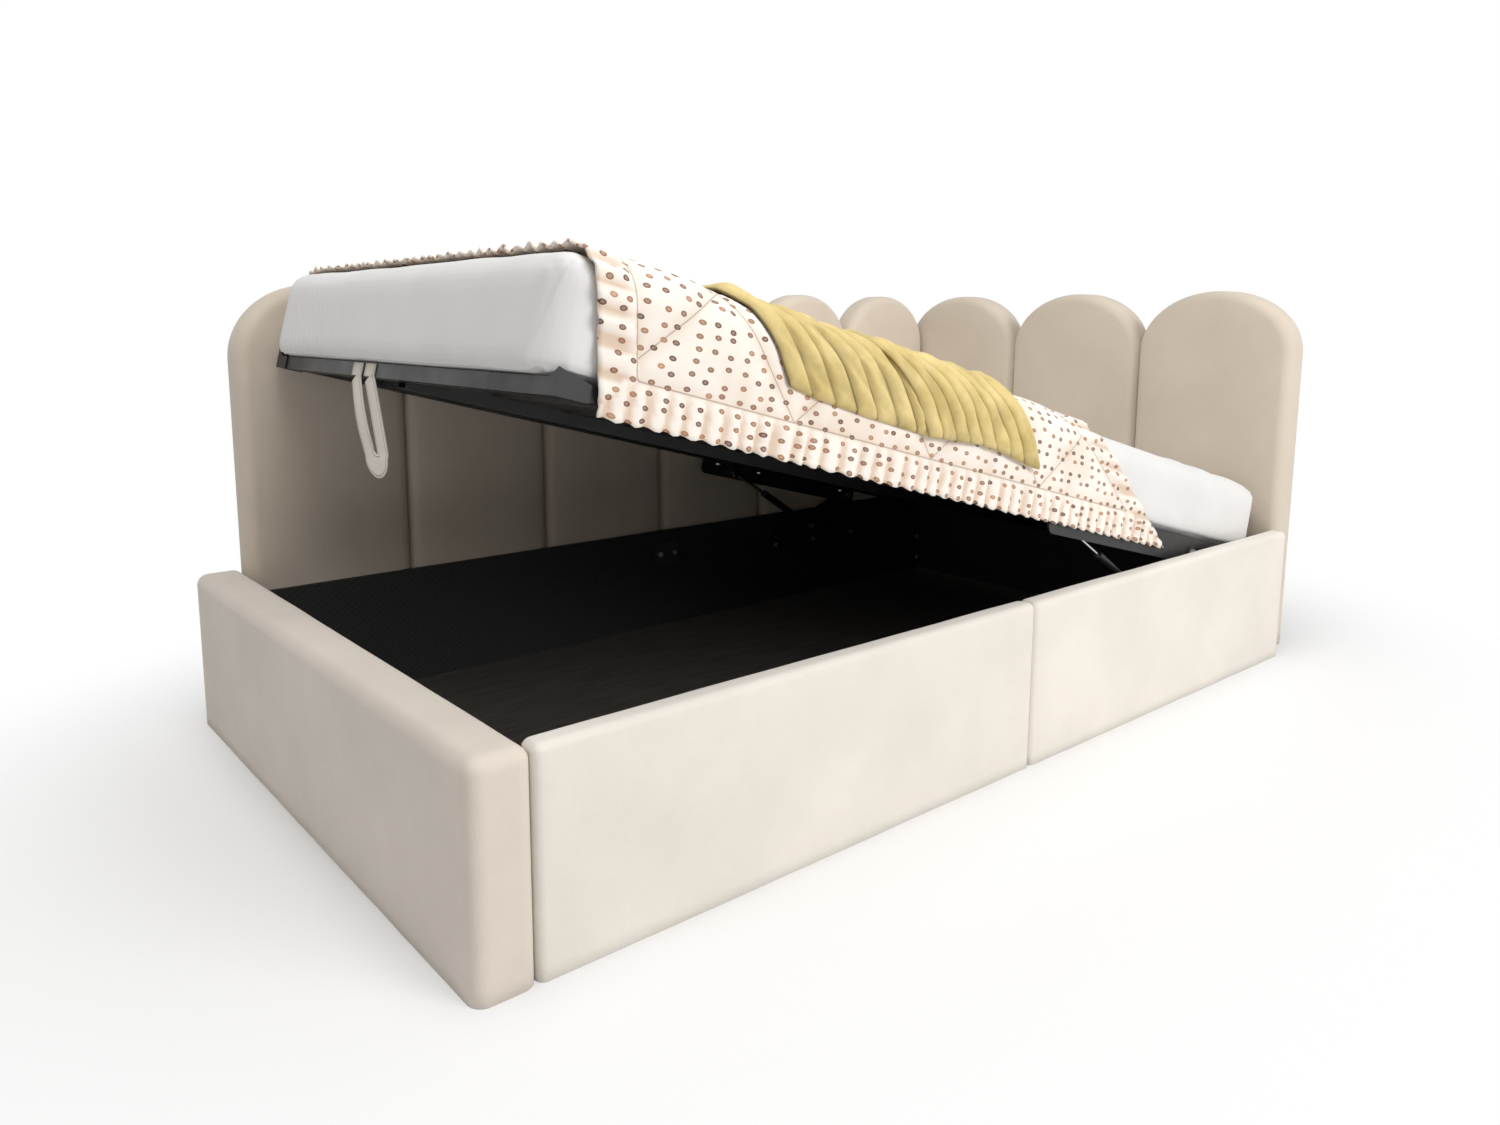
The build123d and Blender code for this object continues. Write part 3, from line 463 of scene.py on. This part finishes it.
# %% [markdown]
# The back board and head board are rows of padded arches. Each arch is stuffed on its own,
# so it is fullest in the middle and turns down into the seam beside its neighbour. Its
# outline is the upper half of a circle, stretched to the arch, with its two ends drawn down
# to the bottom. The outline is filled, given its depth, and inset ring by ring: every ring
# is a step inwards and a step out, which together follow the round of the padding. The back
# stays 2 mm short, to leave room for the cloth that closes it.
# %% Padded arches
arch_rise = 0.14


def inset(shape, face, step_in, step_out):
    bmesh.ops.inset_individual(
        shape, faces=[face], thickness=step_in, depth=step_out, use_even_offset=True
    )


def padded_arch(name, stands_for, across, rise):
    low, high = (Vector(corner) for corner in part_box(stands_for))
    deep = 1 - across
    half = (high[across] - low[across]) / 2
    depth = high[deep] - low[deep]
    arch = bmesh.new()
    bmesh.ops.create_circle(arch, segments=72, radius=1, cap_ends=False)
    lower = [v for v in arch.verts if v.co.y < -1e-4]
    bmesh.ops.delete(arch, geom=lower, context="VERTS")
    ends = [v for v in arch.verts if abs(v.co.y) < 1e-4]
    bmesh.ops.scale(arch, vec=(half, rise, 1), verts=arch.verts)
    bmesh.ops.translate(arch, vec=(0, high.z - rise, 0), verts=arch.verts)
    legs = bmesh.ops.extrude_vert_indiv(arch, verts=ends)
    bmesh.ops.translate(arch, vec=(0, low.z - (high.z - rise), 0), verts=legs["verts"])
    bmesh.ops.contextual_create(arch, geom=legs["verts"])
    straight = [e for e in arch.edges if e.calc_length() > 0.1]
    bmesh.ops.subdivide_edges(arch, edges=straight, cuts=16)
    bmesh.ops.contextual_create(arch, geom=arch.edges[:])
    back = arch.faces[0]
    out = bmesh.ops.extrude_face_region(arch, geom=[back])
    moved = [g for g in out["geom"] if isinstance(g, bmesh.types.BMVert)]
    front_round, back_round = 0.026, 0.006
    crown_steps = ((0.016, 0.0022), (0.02, 0.0015), (0.022, 0.0008))
    crown = sum(step_out for _, step_out in crown_steps)
    bmesh.ops.translate(arch, vec=(0, 0, depth - front_round - back_round - crown), verts=moved)
    front = next(g for g in out["geom"] if isinstance(g, bmesh.types.BMFace))
    back = next(f for f in arch.faces if len(f.verts) > 4 and f is not front)
    bmesh.ops.recalc_face_normals(arch, faces=arch.faces)
    for face, radius, steps in ((front, front_round, 7), (back, back_round, 3)):
        for i in range(steps):
            a, b = (math.pi / 2 * k / steps for k in (i, i + 1))
            step_in, step_out = math.cos(a) - math.cos(b), math.sin(b) - math.sin(a)
            inset(arch, face, step_in * radius, step_out * radius)
    for step_in, step_out in crown_steps:
        inset(arch, front, step_in, step_out)
    bottom, cloth_room = low.z, 0.0022
    middle = (low[across] + high[across]) / 2
    for v in arch.verts:
        side, up, forward = v.co.x, v.co.y, v.co.z + back_round
        v.co.z = max(up, bottom)
        v.co[across] = middle + min(max(side, -half), half)
        v.co[deep] = high[deep] - max(forward, cloth_room)
    piece = settle(arch, name, "panel_upholstery", "bed_frame", stands_for)
    return piece


for i in range(1, 7):
    padded_arch(f"backboard_arch_{i}", f"backboard_panel_{i}", 0, arch_rise)
for i in range(1, 4):
    padded_arch(f"headboard_arch_{i}", f"headboard_panel_{i}", 1, arch_rise)


# %% [markdown]
# Black cloth closes the back of both boards. It is cut to the scalloped outline, its raw edge
# is turned under, and it is stapled round the rim. A copy of the blocked-out cloth gives the
# outline. Its loose triangles are merged first, and an inset of the whole outer face then
# draws the turned edge.
# %% Back cloths
def back_cloth(name, stands_for, outward):
    cloth = bmesh.new()
    cloth.from_mesh(frame["nodes"][stands_for].data)
    bmesh.ops.remove_doubles(cloth, verts=cloth.verts, dist=1e-5)
    outer = [f for f in cloth.faces if f.normal.dot(outward) > 0.9]
    flat_area = sum(f.calc_area() for f in outer)
    for step_in, step_out in ((0.008, 0), (0.0012, -0.0007)):
        bmesh.ops.inset_region(
            cloth,
            faces=outer,
            thickness=step_in,
            depth=step_out,
            use_boundary=True,
            use_even_offset=False,
        )
    piece = settle(cloth, name, "back_cloth", "bed_frame", stands_for)
    piece.data.polygons.foreach_set("use_smooth", [False] * len(piece.data.polygons))


back_cloth("backboard_cloth", "backboard_back_cloth", Vector((0, 1, 0)))
back_cloth("headboard_cloth", "headboard_back_cloth", Vector((1, 0, 0)))


# %% [markdown]
# The mattress is foam, so its edges are round everywhere and its sides give a little. A copy
# of the blocked-out mattress, laid flat along the platform, is remeshed into even squares, so
# that it can be smoothed and made uneven without creases.
# %% Mattress
def even_copy(stands_for, voxel):
    rough = bmesh.new()
    rough.from_mesh(frame["nodes"][stands_for].data)
    bmesh.ops.remove_doubles(rough, verts=rough.verts, dist=1e-5)
    bmesh.ops.transform(rough, matrix=platform_place.inverted(), verts=rough.verts)
    mesh = bpy.data.meshes.new("even")
    rough.to_mesh(mesh)
    rough.free()
    holder = bpy.data.objects.new("even", mesh)
    bpy.context.scene.collection.objects.link(holder)
    remesh = holder.modifiers.new("even", "REMESH")
    remesh.mode = "VOXEL"
    remesh.voxel_size = voxel
    evaluated = holder.evaluated_get(bpy.context.evaluated_depsgraph_get())
    even = bmesh.new()
    even.from_mesh(evaluated.to_mesh())
    evaluated.to_mesh_clear()
    bpy.data.objects.remove(holder)
    bpy.data.meshes.remove(mesh)
    bmesh.ops.smooth_vert(
        even, verts=even.verts, factor=0.5, use_axis_x=True, use_axis_y=True, use_axis_z=True
    )
    even.normal_update()
    return even


mattress = even_copy("mattress", 0.011)
for v in mattress.verts:
    v.co += v.normal * (noise.noise(v.co * 6) * 0.0008 - 0.0008)
mattress_piece = settle(
    mattress, "mattress_foam", "mattress_cloth", "platform", "mattress", place=platform_place
)

# %% [markdown]
# The fitted sheet is stretched over the mattress and tucked under it. It starts as the even
# mattress again, with the underside cut away, moved out by its own thickness. Where it shows
# at the foot, small pleats run up from the tuck at the far corner, and a single fold crosses
# the near corner, as on a bed made by hand. Only that end is divided finely enough for the
# pleats. Under the quilt the sheet stays flat.
# %% Fitted sheet
def foot_fold(y, w):
    line = -0.458 - 0.028 * (w - 0.045) / 0.135
    return 0.0022 * smooth(line + 0.002, line - 0.002, y) if y < line + 0.002 else 0


sheet = even_copy("mattress", 0.011)
under = [v for v in sheet.verts if v.co.z < 0.037]
bmesh.ops.delete(sheet, geom=under, context="VERTS")
at_foot = [e for e in sheet.edges if max(v.co.x for v in e.verts) < -1.52]
bmesh.ops.subdivide_edges(sheet, edges=at_foot, cuts=2, use_grid_fill=True)
sheet.normal_update()
for v in sheet.verts:
    u, y, w = v.co
    bare_foot = smooth(-1.530, -1.560, u) if u < -1.53 else 0
    bare_head = smooth(-0.11, -0.05, u)
    far = smooth(0.02, 0.42, y)
    fan = y + (w - 0.1) * 0.35 * smooth(0.34, 0.47, y)
    pleats = math.sin(2 * math.pi * fan / 0.021 + 2 * noise.noise(v.co * 8)) * 0.0016 * far
    slack = noise.noise(Vector((u * 3, y * 10, w * 5))) * 0.0018
    lines = math.sin(2 * math.pi * (u * 0.8 + y) / 0.11 + 4 * noise.noise(v.co * 5)) * 0.0012
    v.co += v.normal * (0.0014 + bare_foot * (pleats + slack + 0.002) + bare_head * (slack + lines + 0.001))
    v.co.x -= bare_foot * foot_fold(y, w)
sheet_area = sum(f.calc_area() for f in sheet.faces)
sheet_piece = settle(
    sheet, "fitted_sheet_cloth", "sheet_cotton", "platform", "fitted_sheet", place=platform_place
)
thick = sheet_piece.modifiers.new("thickness", "SOLIDIFY")
thick.thickness, thick.offset = 0.0009, 1
print("sheet area", round(sheet_area, 3))


# %% [markdown]
# Quilt and throw both hang over the near side of the mattress, lie across its top and turn
# down on the far side. One walk, from the near hem up and over, says where the cloth is after
# any length of it, and which way it faces there, so both pieces are laid along the same line.
# %% The walk over the mattress
near_side, top_height, far_side, corner, hem_height = -0.5112, 0.1945, 0.4815, 0.058, -0.003
rise_part = top_height - corner - hem_height
turn_part = corner * math.pi / 2
flat_part = (far_side - corner) - (near_side + corner)
far_drop = top_height - corner - 0.13
walk_length = rise_part + 2 * turn_part + flat_part + far_drop


def walk(s):
    if s < rise_part:
        return near_side, hem_height + s, Vector((0, -1, 0))
    s -= rise_part
    if s < turn_part:
        angle = s / corner
        outward = Vector((0, -math.cos(angle), math.sin(angle)))
        return near_side + corner + outward.y * corner, top_height - corner + outward.z * corner, outward
    s -= turn_part
    if s < flat_part:
        return near_side + corner + s, top_height, Vector((0, 0, 1))
    s -= flat_part
    if s < turn_part:
        angle = s / corner
        outward = Vector((0, math.sin(angle), math.cos(angle)))
        return far_side - corner + outward.y * corner, top_height - corner + outward.z * corner, outward
    return far_side, top_height - corner - (s - turn_part), Vector((0, 1, 0))


print("over the mattress", round(walk_length, 3), "m")

# %% [markdown]
# The edges of the throw are needed before the quilt is shaped, because the quilt lies flat
# under it. The throw hangs over the near side only a little, with both ends slanting.
# %% Where the throw lies
throw_foot = [(0.079, -1.220), (0.095, -1.224), (0.138, -1.258), (0.18, -1.303), (0.193, -1.345)]
throw_head = [(0.079, -0.630), (0.12, -0.662), (0.16, -0.704), (0.183, -0.741)]
throw_fold = [(0.079, -0.925), (0.082, -0.927), (0.136, -0.974), (0.176, -1.033), (0.193, -1.080)]
throw_hem = [
    (-1.224, 0.095),
    (-1.172, 0.089),
    (-1.057, 0.084),
    (-0.927, 0.082),
    (-0.796, 0.093),
    (-0.734, 0.091),
    (-0.63, 0.079),
]
throw_end = rise_part + turn_part + (0.046 - near_side - corner)


def under_throw(u, s):
    _, w, _ = walk(s)
    margin = min(u - through(throw_foot, w), through(throw_head, w) - u, throw_end - s)
    if s < rise_part:
        margin = min(margin, w - through(throw_hem, u))
    return smooth(-0.012, 0.006, margin)


print("the throw ends", round(throw_end, 3), "m from the quilt's near hem")

# %% [markdown]
# The quilt is a flat grid, bent along the walk. Wadding between two cloths is held down by
# stitching: a border round the edge and diamonds inside it. Each point is pushed out by how
# far it is from the nearest seam. Outside the border the cloth is gathered, so it waves more
# and more towards the hem. Its UV map keeps the flat lengths, which the print follows.
# %% Quilt
def quilt_ends(w):
    return -1.557 + (0.194 - w) * 0.235, -0.442 + max(0.181 - w, 0) * 1.716


quilt = bmesh.new()
bmesh.ops.create_grid(quilt, x_segments=190, y_segments=200, size=0.5)
flat_map = quilt.loops.layers.uv.new("cloth")
inside_layer = quilt.verts.layers.float.new("inside")
painted_fold_shade_layer = quilt.verts.layers.float.new("painted_fold_shade")
laid = {}
for v in quilt.verts:
    s = (v.co.y + 0.5) * walk_length
    y, w, outward = walk(s)
    foot, head = quilt_ends(w)
    u = foot + (head - foot) * (v.co.x + 0.5)
    laid[v] = (u, s)
    from_foot, from_head, from_hem, from_far = u - foot, head - u, s, walk_length - s
    inside = min(
        from_foot - border, (from_head - head_border) * 0.8, from_hem - hem_seam, from_far - border
    )
    cover = under_throw(u, s)
    if inside > 0:
        a, b = (u + diamond_start) - (s - hem_seam), (u + diamond_start) + (s - hem_seam)
        to_diamond = min(abs((x / diamond + 0.5) % 1 - 0.5) * diamond for x in (a, b)) / math.sqrt(2)
        to_seam = min(to_diamond, inside)
        plump = 0.0062 * (1 - math.exp(-((to_seam / 0.03) ** 1.3)))
        pucker = noise.noise(Vector((u * 45, s * 45, 1))) * 0.0016 * math.exp(-to_seam / 0.035)
        sag = noise.noise(Vector((u * 9, s * 9, 4))) * 0.003
        sag += noise.noise(Vector((u * 26, s * 14, 6))) * 0.0014
        # Painted shade by the stitched seams and in the low spots of the wadding.
        deep = 0.5 * math.exp(-to_seam / 0.008) + smooth(0.0002, -0.0022, pucker + sag) * 0.35
        lift = plump + (pucker + sag) * smooth(0, 0.02, to_seam)
    else:
        out = min(-inside, border)
        edge = min(
            from_hem / hem_seam if s < hem_seam else 1,
            from_foot / border,
            from_head / head_border * 1.2,
            from_far / border,
        )
        run = u if from_hem < hem_seam and from_hem / hem_seam <= edge + 0.3 else s
        loose = smooth(0, 0.024, out)
        wave = gathers(run, 0.032, 2 if run is u else 7)
        fine = gathers(run, 0.0145, 5) * math.exp(-out / 0.02)
        uneven = 0.55 + abs(noise.noise(Vector((run * 14, 5, 1)))) * 1.3
        lift = 0.0032 * smooth(0, 0.014, out) + loose * wave * 0.0036 * uneven
        lift += fine * 0.0015 * smooth(0, 0.006, out)
        lift += noise.noise(Vector((u * 30, s * 30, 2))) * 0.0016 * smooth(0, 0.01, out)
        # Painted shade in the troughs of the gathers.
        deep = smooth(0.2, -0.9, wave + fine * 0.5) * (0.35 + 0.65 * loose)
        if from_hem < 0.012:
            w -= 0.0022 * gathers(u, 0.032, 2) * (1 - from_hem / 0.012)
        if from_foot < 0.02:
            u -= 0.003 * (0.6 + 0.4 * gathers(s, 0.032, 7)) * (1 - from_foot / 0.02)
    lift = lift * (1 - cover) + min(lift, 0.0008) * cover
    v.co = Vector((u, y, w)) + outward * (0.0002 + lift)
    v[inside_layer] = inside
    v[painted_fold_shade_layer] = deep * 0.8
for face in quilt.faces:
    for loop in face.loops:
        loop[flat_map].uv = laid[loop.vert]
quilt_area = sum(f.calc_area() for f in quilt.faces)
quilt_piece = settle(quilt, "quilt_cloth", "quilt_cotton", "platform", "quilt", place=platform_place)
thick = quilt_piece.modifiers.new("thickness", "SOLIDIFY")
thick.thickness, thick.offset = 0.0034, -1
print("quilt area", round(quilt_area, 3))

# %% [markdown]
# The throw is a padded velvet cloth sewn in channels that run up and over the mattress, laid
# double at its head half: it goes out to its head edge, turns over and comes back on top of
# itself. One grid does both layers. Its first part runs from the foot edge to the head edge,
# the rest back to the fold line, a little higher. Between two channel seams the wadding
# stands up, and short wrinkles run from each seam where the cloth is bunched.
# %% Throw
channel_count, layer_gap = 13, 0.0052
turning, throw_width = 0.62, 0.97
throw = bmesh.new()
bmesh.ops.create_grid(throw, x_segments=300, y_segments=110, size=0.5)
flat_map = throw.loops.layers.uv.new("cloth")
seam_and_shade_layer = throw.verts.layers.float.new("seam_and_shade")
laid = {}
for v in throw.verts:
    part, up = v.co.x + 0.5, v.co.y + 0.5
    top_layer = part > turning
    share = part / turning if not top_layer else 1 - (part - turning) / (1 - turning)
    s = 0.09 + (throw_end - 0.09) * up
    for _ in range(3):
        _, w, _ = walk(s)
        foot = through(throw_foot, w) if not top_layer else through(throw_fold, w)
        head = through(throw_head, w)
        u = foot + (head - foot) * share
        hem = through(throw_hem, u) - hem_height
        s = hem + (throw_end - hem) * up
    y, w, outward = walk(s)
    foot = through(throw_foot, w) if not top_layer else through(throw_fold, w)
    head = through(throw_head, w)
    u = foot + (head - foot) * share
    across = part / turning * channel_count
    in_channel = abs((across + 0.5) % 1 - 0.5)
    edge_in = min(up, 1 - up) * 0.6
    stand = 0.0088 * (1 - (1 - min(in_channel * 2.0, 1)) ** 2.4)
    bunch = noise.noise(Vector((across * 0.9, s * 34 + across * 0.7, 3)))
    wrinkle = bunch * 0.0062 * smooth(0.02, 0.25, in_channel)
    wide = noise.noise(Vector((u * 7, s * 8, 9))) * 0.003
    edge_down = smooth(0, 0.012, edge_in)
    piping = 0.0026 * math.exp(-((edge_in - 0.004) / 0.003) ** 2)
    foot_in = part * throw_width
    if foot_in < 0.012:
        edge_down *= smooth(0, 0.008, foot_in)
        piping = max(piping, 0.0026 * math.exp(-((foot_in - 0.004) / 0.003) ** 2))
    turn = smooth(turning - 0.012, turning + 0.012, part)
    over_turn = math.sin(math.pi * min(max((part - turning + 0.02) / 0.04, 0), 1))
    base = 0.0042 + layer_gap * turn + 0.005 * over_turn
    covered = not top_layer and part > turning * 0.62
    full = (stand + wrinkle + max(wide, -0.001)) * edge_down * (0.55 if covered else 1)
    height = base + full + piping
    bow = math.sin(math.pi * up) * 0.006
    bulge = 0.004 * math.sin(math.pi * min(max((part - turning + 0.03) / 0.06, 0), 1))
    laid[v] = (part * throw_width, s)
    v.co = Vector((u + bulge + bow, y, w)) + outward * max(height, 0.0036)
    # Dark along each seam, then painted shade fading into the channel, and painted shade where the wrinkles
    # dip.
    stitched_and_shaded_in = max(1 - in_channel / 0.05, 0) * 0.8 + 0.3 * max(1 - in_channel / 0.22, 0)
    v[seam_and_shade_layer] = min(stitched_and_shaded_in + 0.22 * smooth(0.02, -0.4, bunch), 1)
for face in throw.faces:
    for loop in face.loops:
        loop[flat_map].uv = laid[loop.vert]
throw_area = sum(f.calc_area() for f in throw.faces)
throw_piece = settle(
    throw, "throw_cloth", "throw_velvet", "platform", "throw_blanket", place=platform_place
)
thick = throw_piece.modifiers.new("thickness", "SOLIDIFY")
thick.thickness, thick.offset = 0.0026, -1
print("throw area", round(throw_area, 3))


# %% [markdown]
# The strap is webbing, woven flat and stitched along both edges. Its ends are sewn to the
# foot bar, and a loop of it hangs below, leaning a little, with its lowest part curved. A grid
# is bent along the loop's middle line, and gets its thickness from a modifier.
# %% Pull strap
def band(name, line, width, stands_for, body, cup):
    strap = bmesh.new()
    bmesh.ops.create_grid(strap, x_segments=8, y_segments=len(line) - 1, size=0.5)
    flat_map = strap.loops.layers.uv.new("cloth")
    lengths = [0.0]
    for a, b in zip(line, line[1:]):
        lengths.append(lengths[-1] + (b - a).length)
    laid = {}
    for v in strap.verts:
        i = round((v.co.y + 0.5) * (len(line) - 1))
        ahead = (line[min(i + 1, len(line) - 1)] - line[max(i - 1, 0)]).normalized()
        side = ahead.cross(Vector((-1, 0, 0))).normalized() if abs(ahead.x) < 0.9 else Vector((0, 1, 0))
        place = v.co.x
        laid[v] = (lengths[i], place * width)
        v.co = line[i] + side * place * width + Vector((-1, 0, 0)) * cup * (0.25 - place * place)
    for face in strap.faces:
        for loop in face.loops:
            loop[flat_map].uv = laid[loop.vert]
    piece = settle(strap, name, "webbing", body, *([stands_for] if stands_for else []))
    thick = piece.modifiers.new("thickness", "SOLIDIFY")
    thick.thickness, thick.offset = 0.0022, 0
    return piece, lengths[-1]


strap_width = 0.037
hinge = Vector((-0.892646, 0.062, 0.671984))
leg_turn, leg_lean, leg_middle = -0.118, -0.0409, 0.025
loop_line = []
for i in range(13):
    part = i / 12
    bend = 0.006 * math.sin(math.pi * part)
    loop_line.append(hinge + Vector((-bend, leg_middle + leg_lean * part - bend * 0.8, leg_turn * part)))
for i in range(1, 16):
    angle = math.pi * i / 16
    across = leg_middle * math.cos(angle) + leg_lean - 0.006 * math.sin(angle)
    loop_line.append(hinge + Vector((-0.001, across, leg_turn - 0.0165 * math.sin(angle))))
for i in range(13):
    part = 1 - i / 12
    bend = 0.006 * math.sin(math.pi * part)
    across = -leg_middle + leg_lean * part - bend * 0.8
    loop_line.append(hinge + Vector((0.001 - bend * 0.3, across, leg_turn * part)))
strap_piece, strap_length = band(
    "pull_strap_webbing", loop_line, strap_width, "pull_strap", "pull_strap", 0.002
)

# %% [markdown]
# The two ends of the webbing are fixed flat to the foot bar, with a box of stitching. They
# belong to the platform, while the loop swings.
# %% Strap ends
face_out = -1.5734
for label, middle in (("a", 0.087), ("b", 0.037)):
    line = [platform_place @ Vector((face_out, middle, 0.0105 + 0.0205 * i / 6)) for i in range(7)]
    stands_for = "strap_anchor" if label == "a" else None
    end, end_length = band(f"strap_end_{label}", line, strap_width, stands_for, "platform", 0.0004)
print("strap", round(strap_length, 3), "m")

# %% [markdown]
# The camera stands where the photographer stood, low at the foot corner with a wide lens.
# Its place, turn and shift were worked out from the bed's straight edges.
# %% Camera
camera_data = bpy.data.cameras.new("camera")
camera_data.lens = 25.44
camera_data.sensor_width = 36
camera_data.shift_x = 0.0264
camera_data.shift_y = -0.0561
camera = bpy.data.objects.new("camera", camera_data)
camera.location = (-1.5164, -1.5521, 0.7563)
camera.rotation_euler = (math.pi / 2 - 0.14683, 0, 0.88599 - math.pi / 2)
bpy.context.scene.collection.objects.link(camera)
bpy.context.scene.camera = camera
print("camera at", tuple(camera.location))

# %% [markdown]
# The bed stands on a plain pale floor under soft light. The floor is nearly white and turns
# white away from the object through Light Path, so no extra lamp is spent on it. The world
# is white to the camera and to reflections and a mild grey for lighting.
# %% Floor and world
floor_shape = bmesh.new()
bmesh.ops.create_grid(floor_shape, x_segments=1, y_segments=1, size=30)
floor_mesh = bpy.data.meshes.new("floor")
floor_shape.to_mesh(floor_mesh)
floor_shape.free()
floor = bpy.data.objects.new("floor", floor_mesh)
bpy.context.scene.collection.objects.link(floor)
floor_material = bpy.data.materials.new("floor_white")
floor_material.use_nodes = True
tree = floor_material.node_tree
painted = tree.nodes["Principled BSDF"]
painted.inputs["Base Color"].default_value = (0.86, 0.86, 0.86, 1)
painted.inputs["Roughness"].default_value = 0.9
from_bed = node(tree, "ShaderNodeVectorMath", operation="LENGTH")
join(tree, coordinates(tree, (0.5, 0.75, 1)), from_bed.inputs[0])
fading = node(tree, "ShaderNodeMapRange", interpolation_type="SMOOTHSTEP")
fading.inputs["From Min"].default_value = 0.42
fading.inputs["From Max"].default_value = 1.0
join(tree, from_bed.outputs["Value"], fading.inputs["Value"])
seen = node(tree, "ShaderNodeLightPath")
by_camera = sums(tree, "MULTIPLY", fading.outputs[0], seen.outputs["Is Camera Ray"])
paper = node(tree, "ShaderNodeEmission", Strength=1.0)
blend = node(tree, "ShaderNodeMixShader")
join(tree, by_camera, blend.inputs[0])
join(tree, painted.outputs[0], blend.inputs[1])
join(tree, paper.outputs[0], blend.inputs[2])
join(tree, blend.outputs[0], tree.nodes["Material Output"].inputs["Surface"])
floor_mesh.materials.append(floor_material)

world = bpy.data.worlds.new("studio")
bpy.context.scene.world = world
world.use_nodes = True
tree = world.node_tree
light_only = tree.nodes["Background"]
light_only.inputs["Color"].default_value = (1, 0.985, 0.965, 1)
light_only.inputs["Strength"].default_value = 0.4
white = node(tree, "ShaderNodeBackground")
white.inputs["Color"].default_value = (1, 1, 1, 1)
rays = node(tree, "ShaderNodeLightPath")
either = node(tree, "ShaderNodeMath", operation="MAXIMUM")
join(tree, rays.outputs["Is Camera Ray"], either.inputs[0])
any_of = node(tree, "ShaderNodeMath", operation="MAXIMUM")
join(tree, rays.outputs["Is Transmission Ray"], any_of.inputs[0])
join(tree, rays.outputs["Is Glossy Ray"], any_of.inputs[1])
join(tree, any_of.outputs[0], either.inputs[1])
mix = node(tree, "ShaderNodeMixShader")
join(tree, either.outputs[0], mix.inputs[0])
join(tree, light_only.outputs[0], mix.inputs[1])
join(tree, white.outputs[0], mix.inputs[2])
join(tree, mix.outputs[0], tree.nodes["World Output"].inputs["Surface"])
bpy.context.scene.view_settings.view_transform = "Standard"
print("floor and world ready")


# %% [markdown]
# Three large lamps. The key is to the front and right, which makes the long rail the
# brightest face, a weaker one fills the foot end, and one above lights the bedding.
# %% Lamps
def lamp(name, place, aim, size, watts, colour=(1, 1, 1)):
    data = bpy.data.lights.new(name, "AREA")
    data.shape = "RECTANGLE"
    data.size, data.size_y = size
    data.energy = watts
    data.color = colour
    lamp_object = bpy.data.objects.new(name, data)
    lamp_object.location = place
    lamp_object.rotation_euler = (Vector(aim) - Vector(place)).to_track_quat("-Z", "Y").to_euler()
    bpy.context.scene.collection.objects.link(lamp_object)
    return lamp_object


lamp("key", (1.0, -4.4, 2.3), (0.1, 0, 0.3), (2.4, 1.8), 117, (1, 0.985, 0.965))
lamp("fill", (-4.2, -1.2, 1.9), (-0.4, 0, 0.3), (2.2, 2.2), 4, (1, 0.98, 0.96))
lamp("above", (-0.95, -0.5, 3.6), (0.5, 0.2, 0.4), (2.0, 1.8), 62)
print("lamps ready")
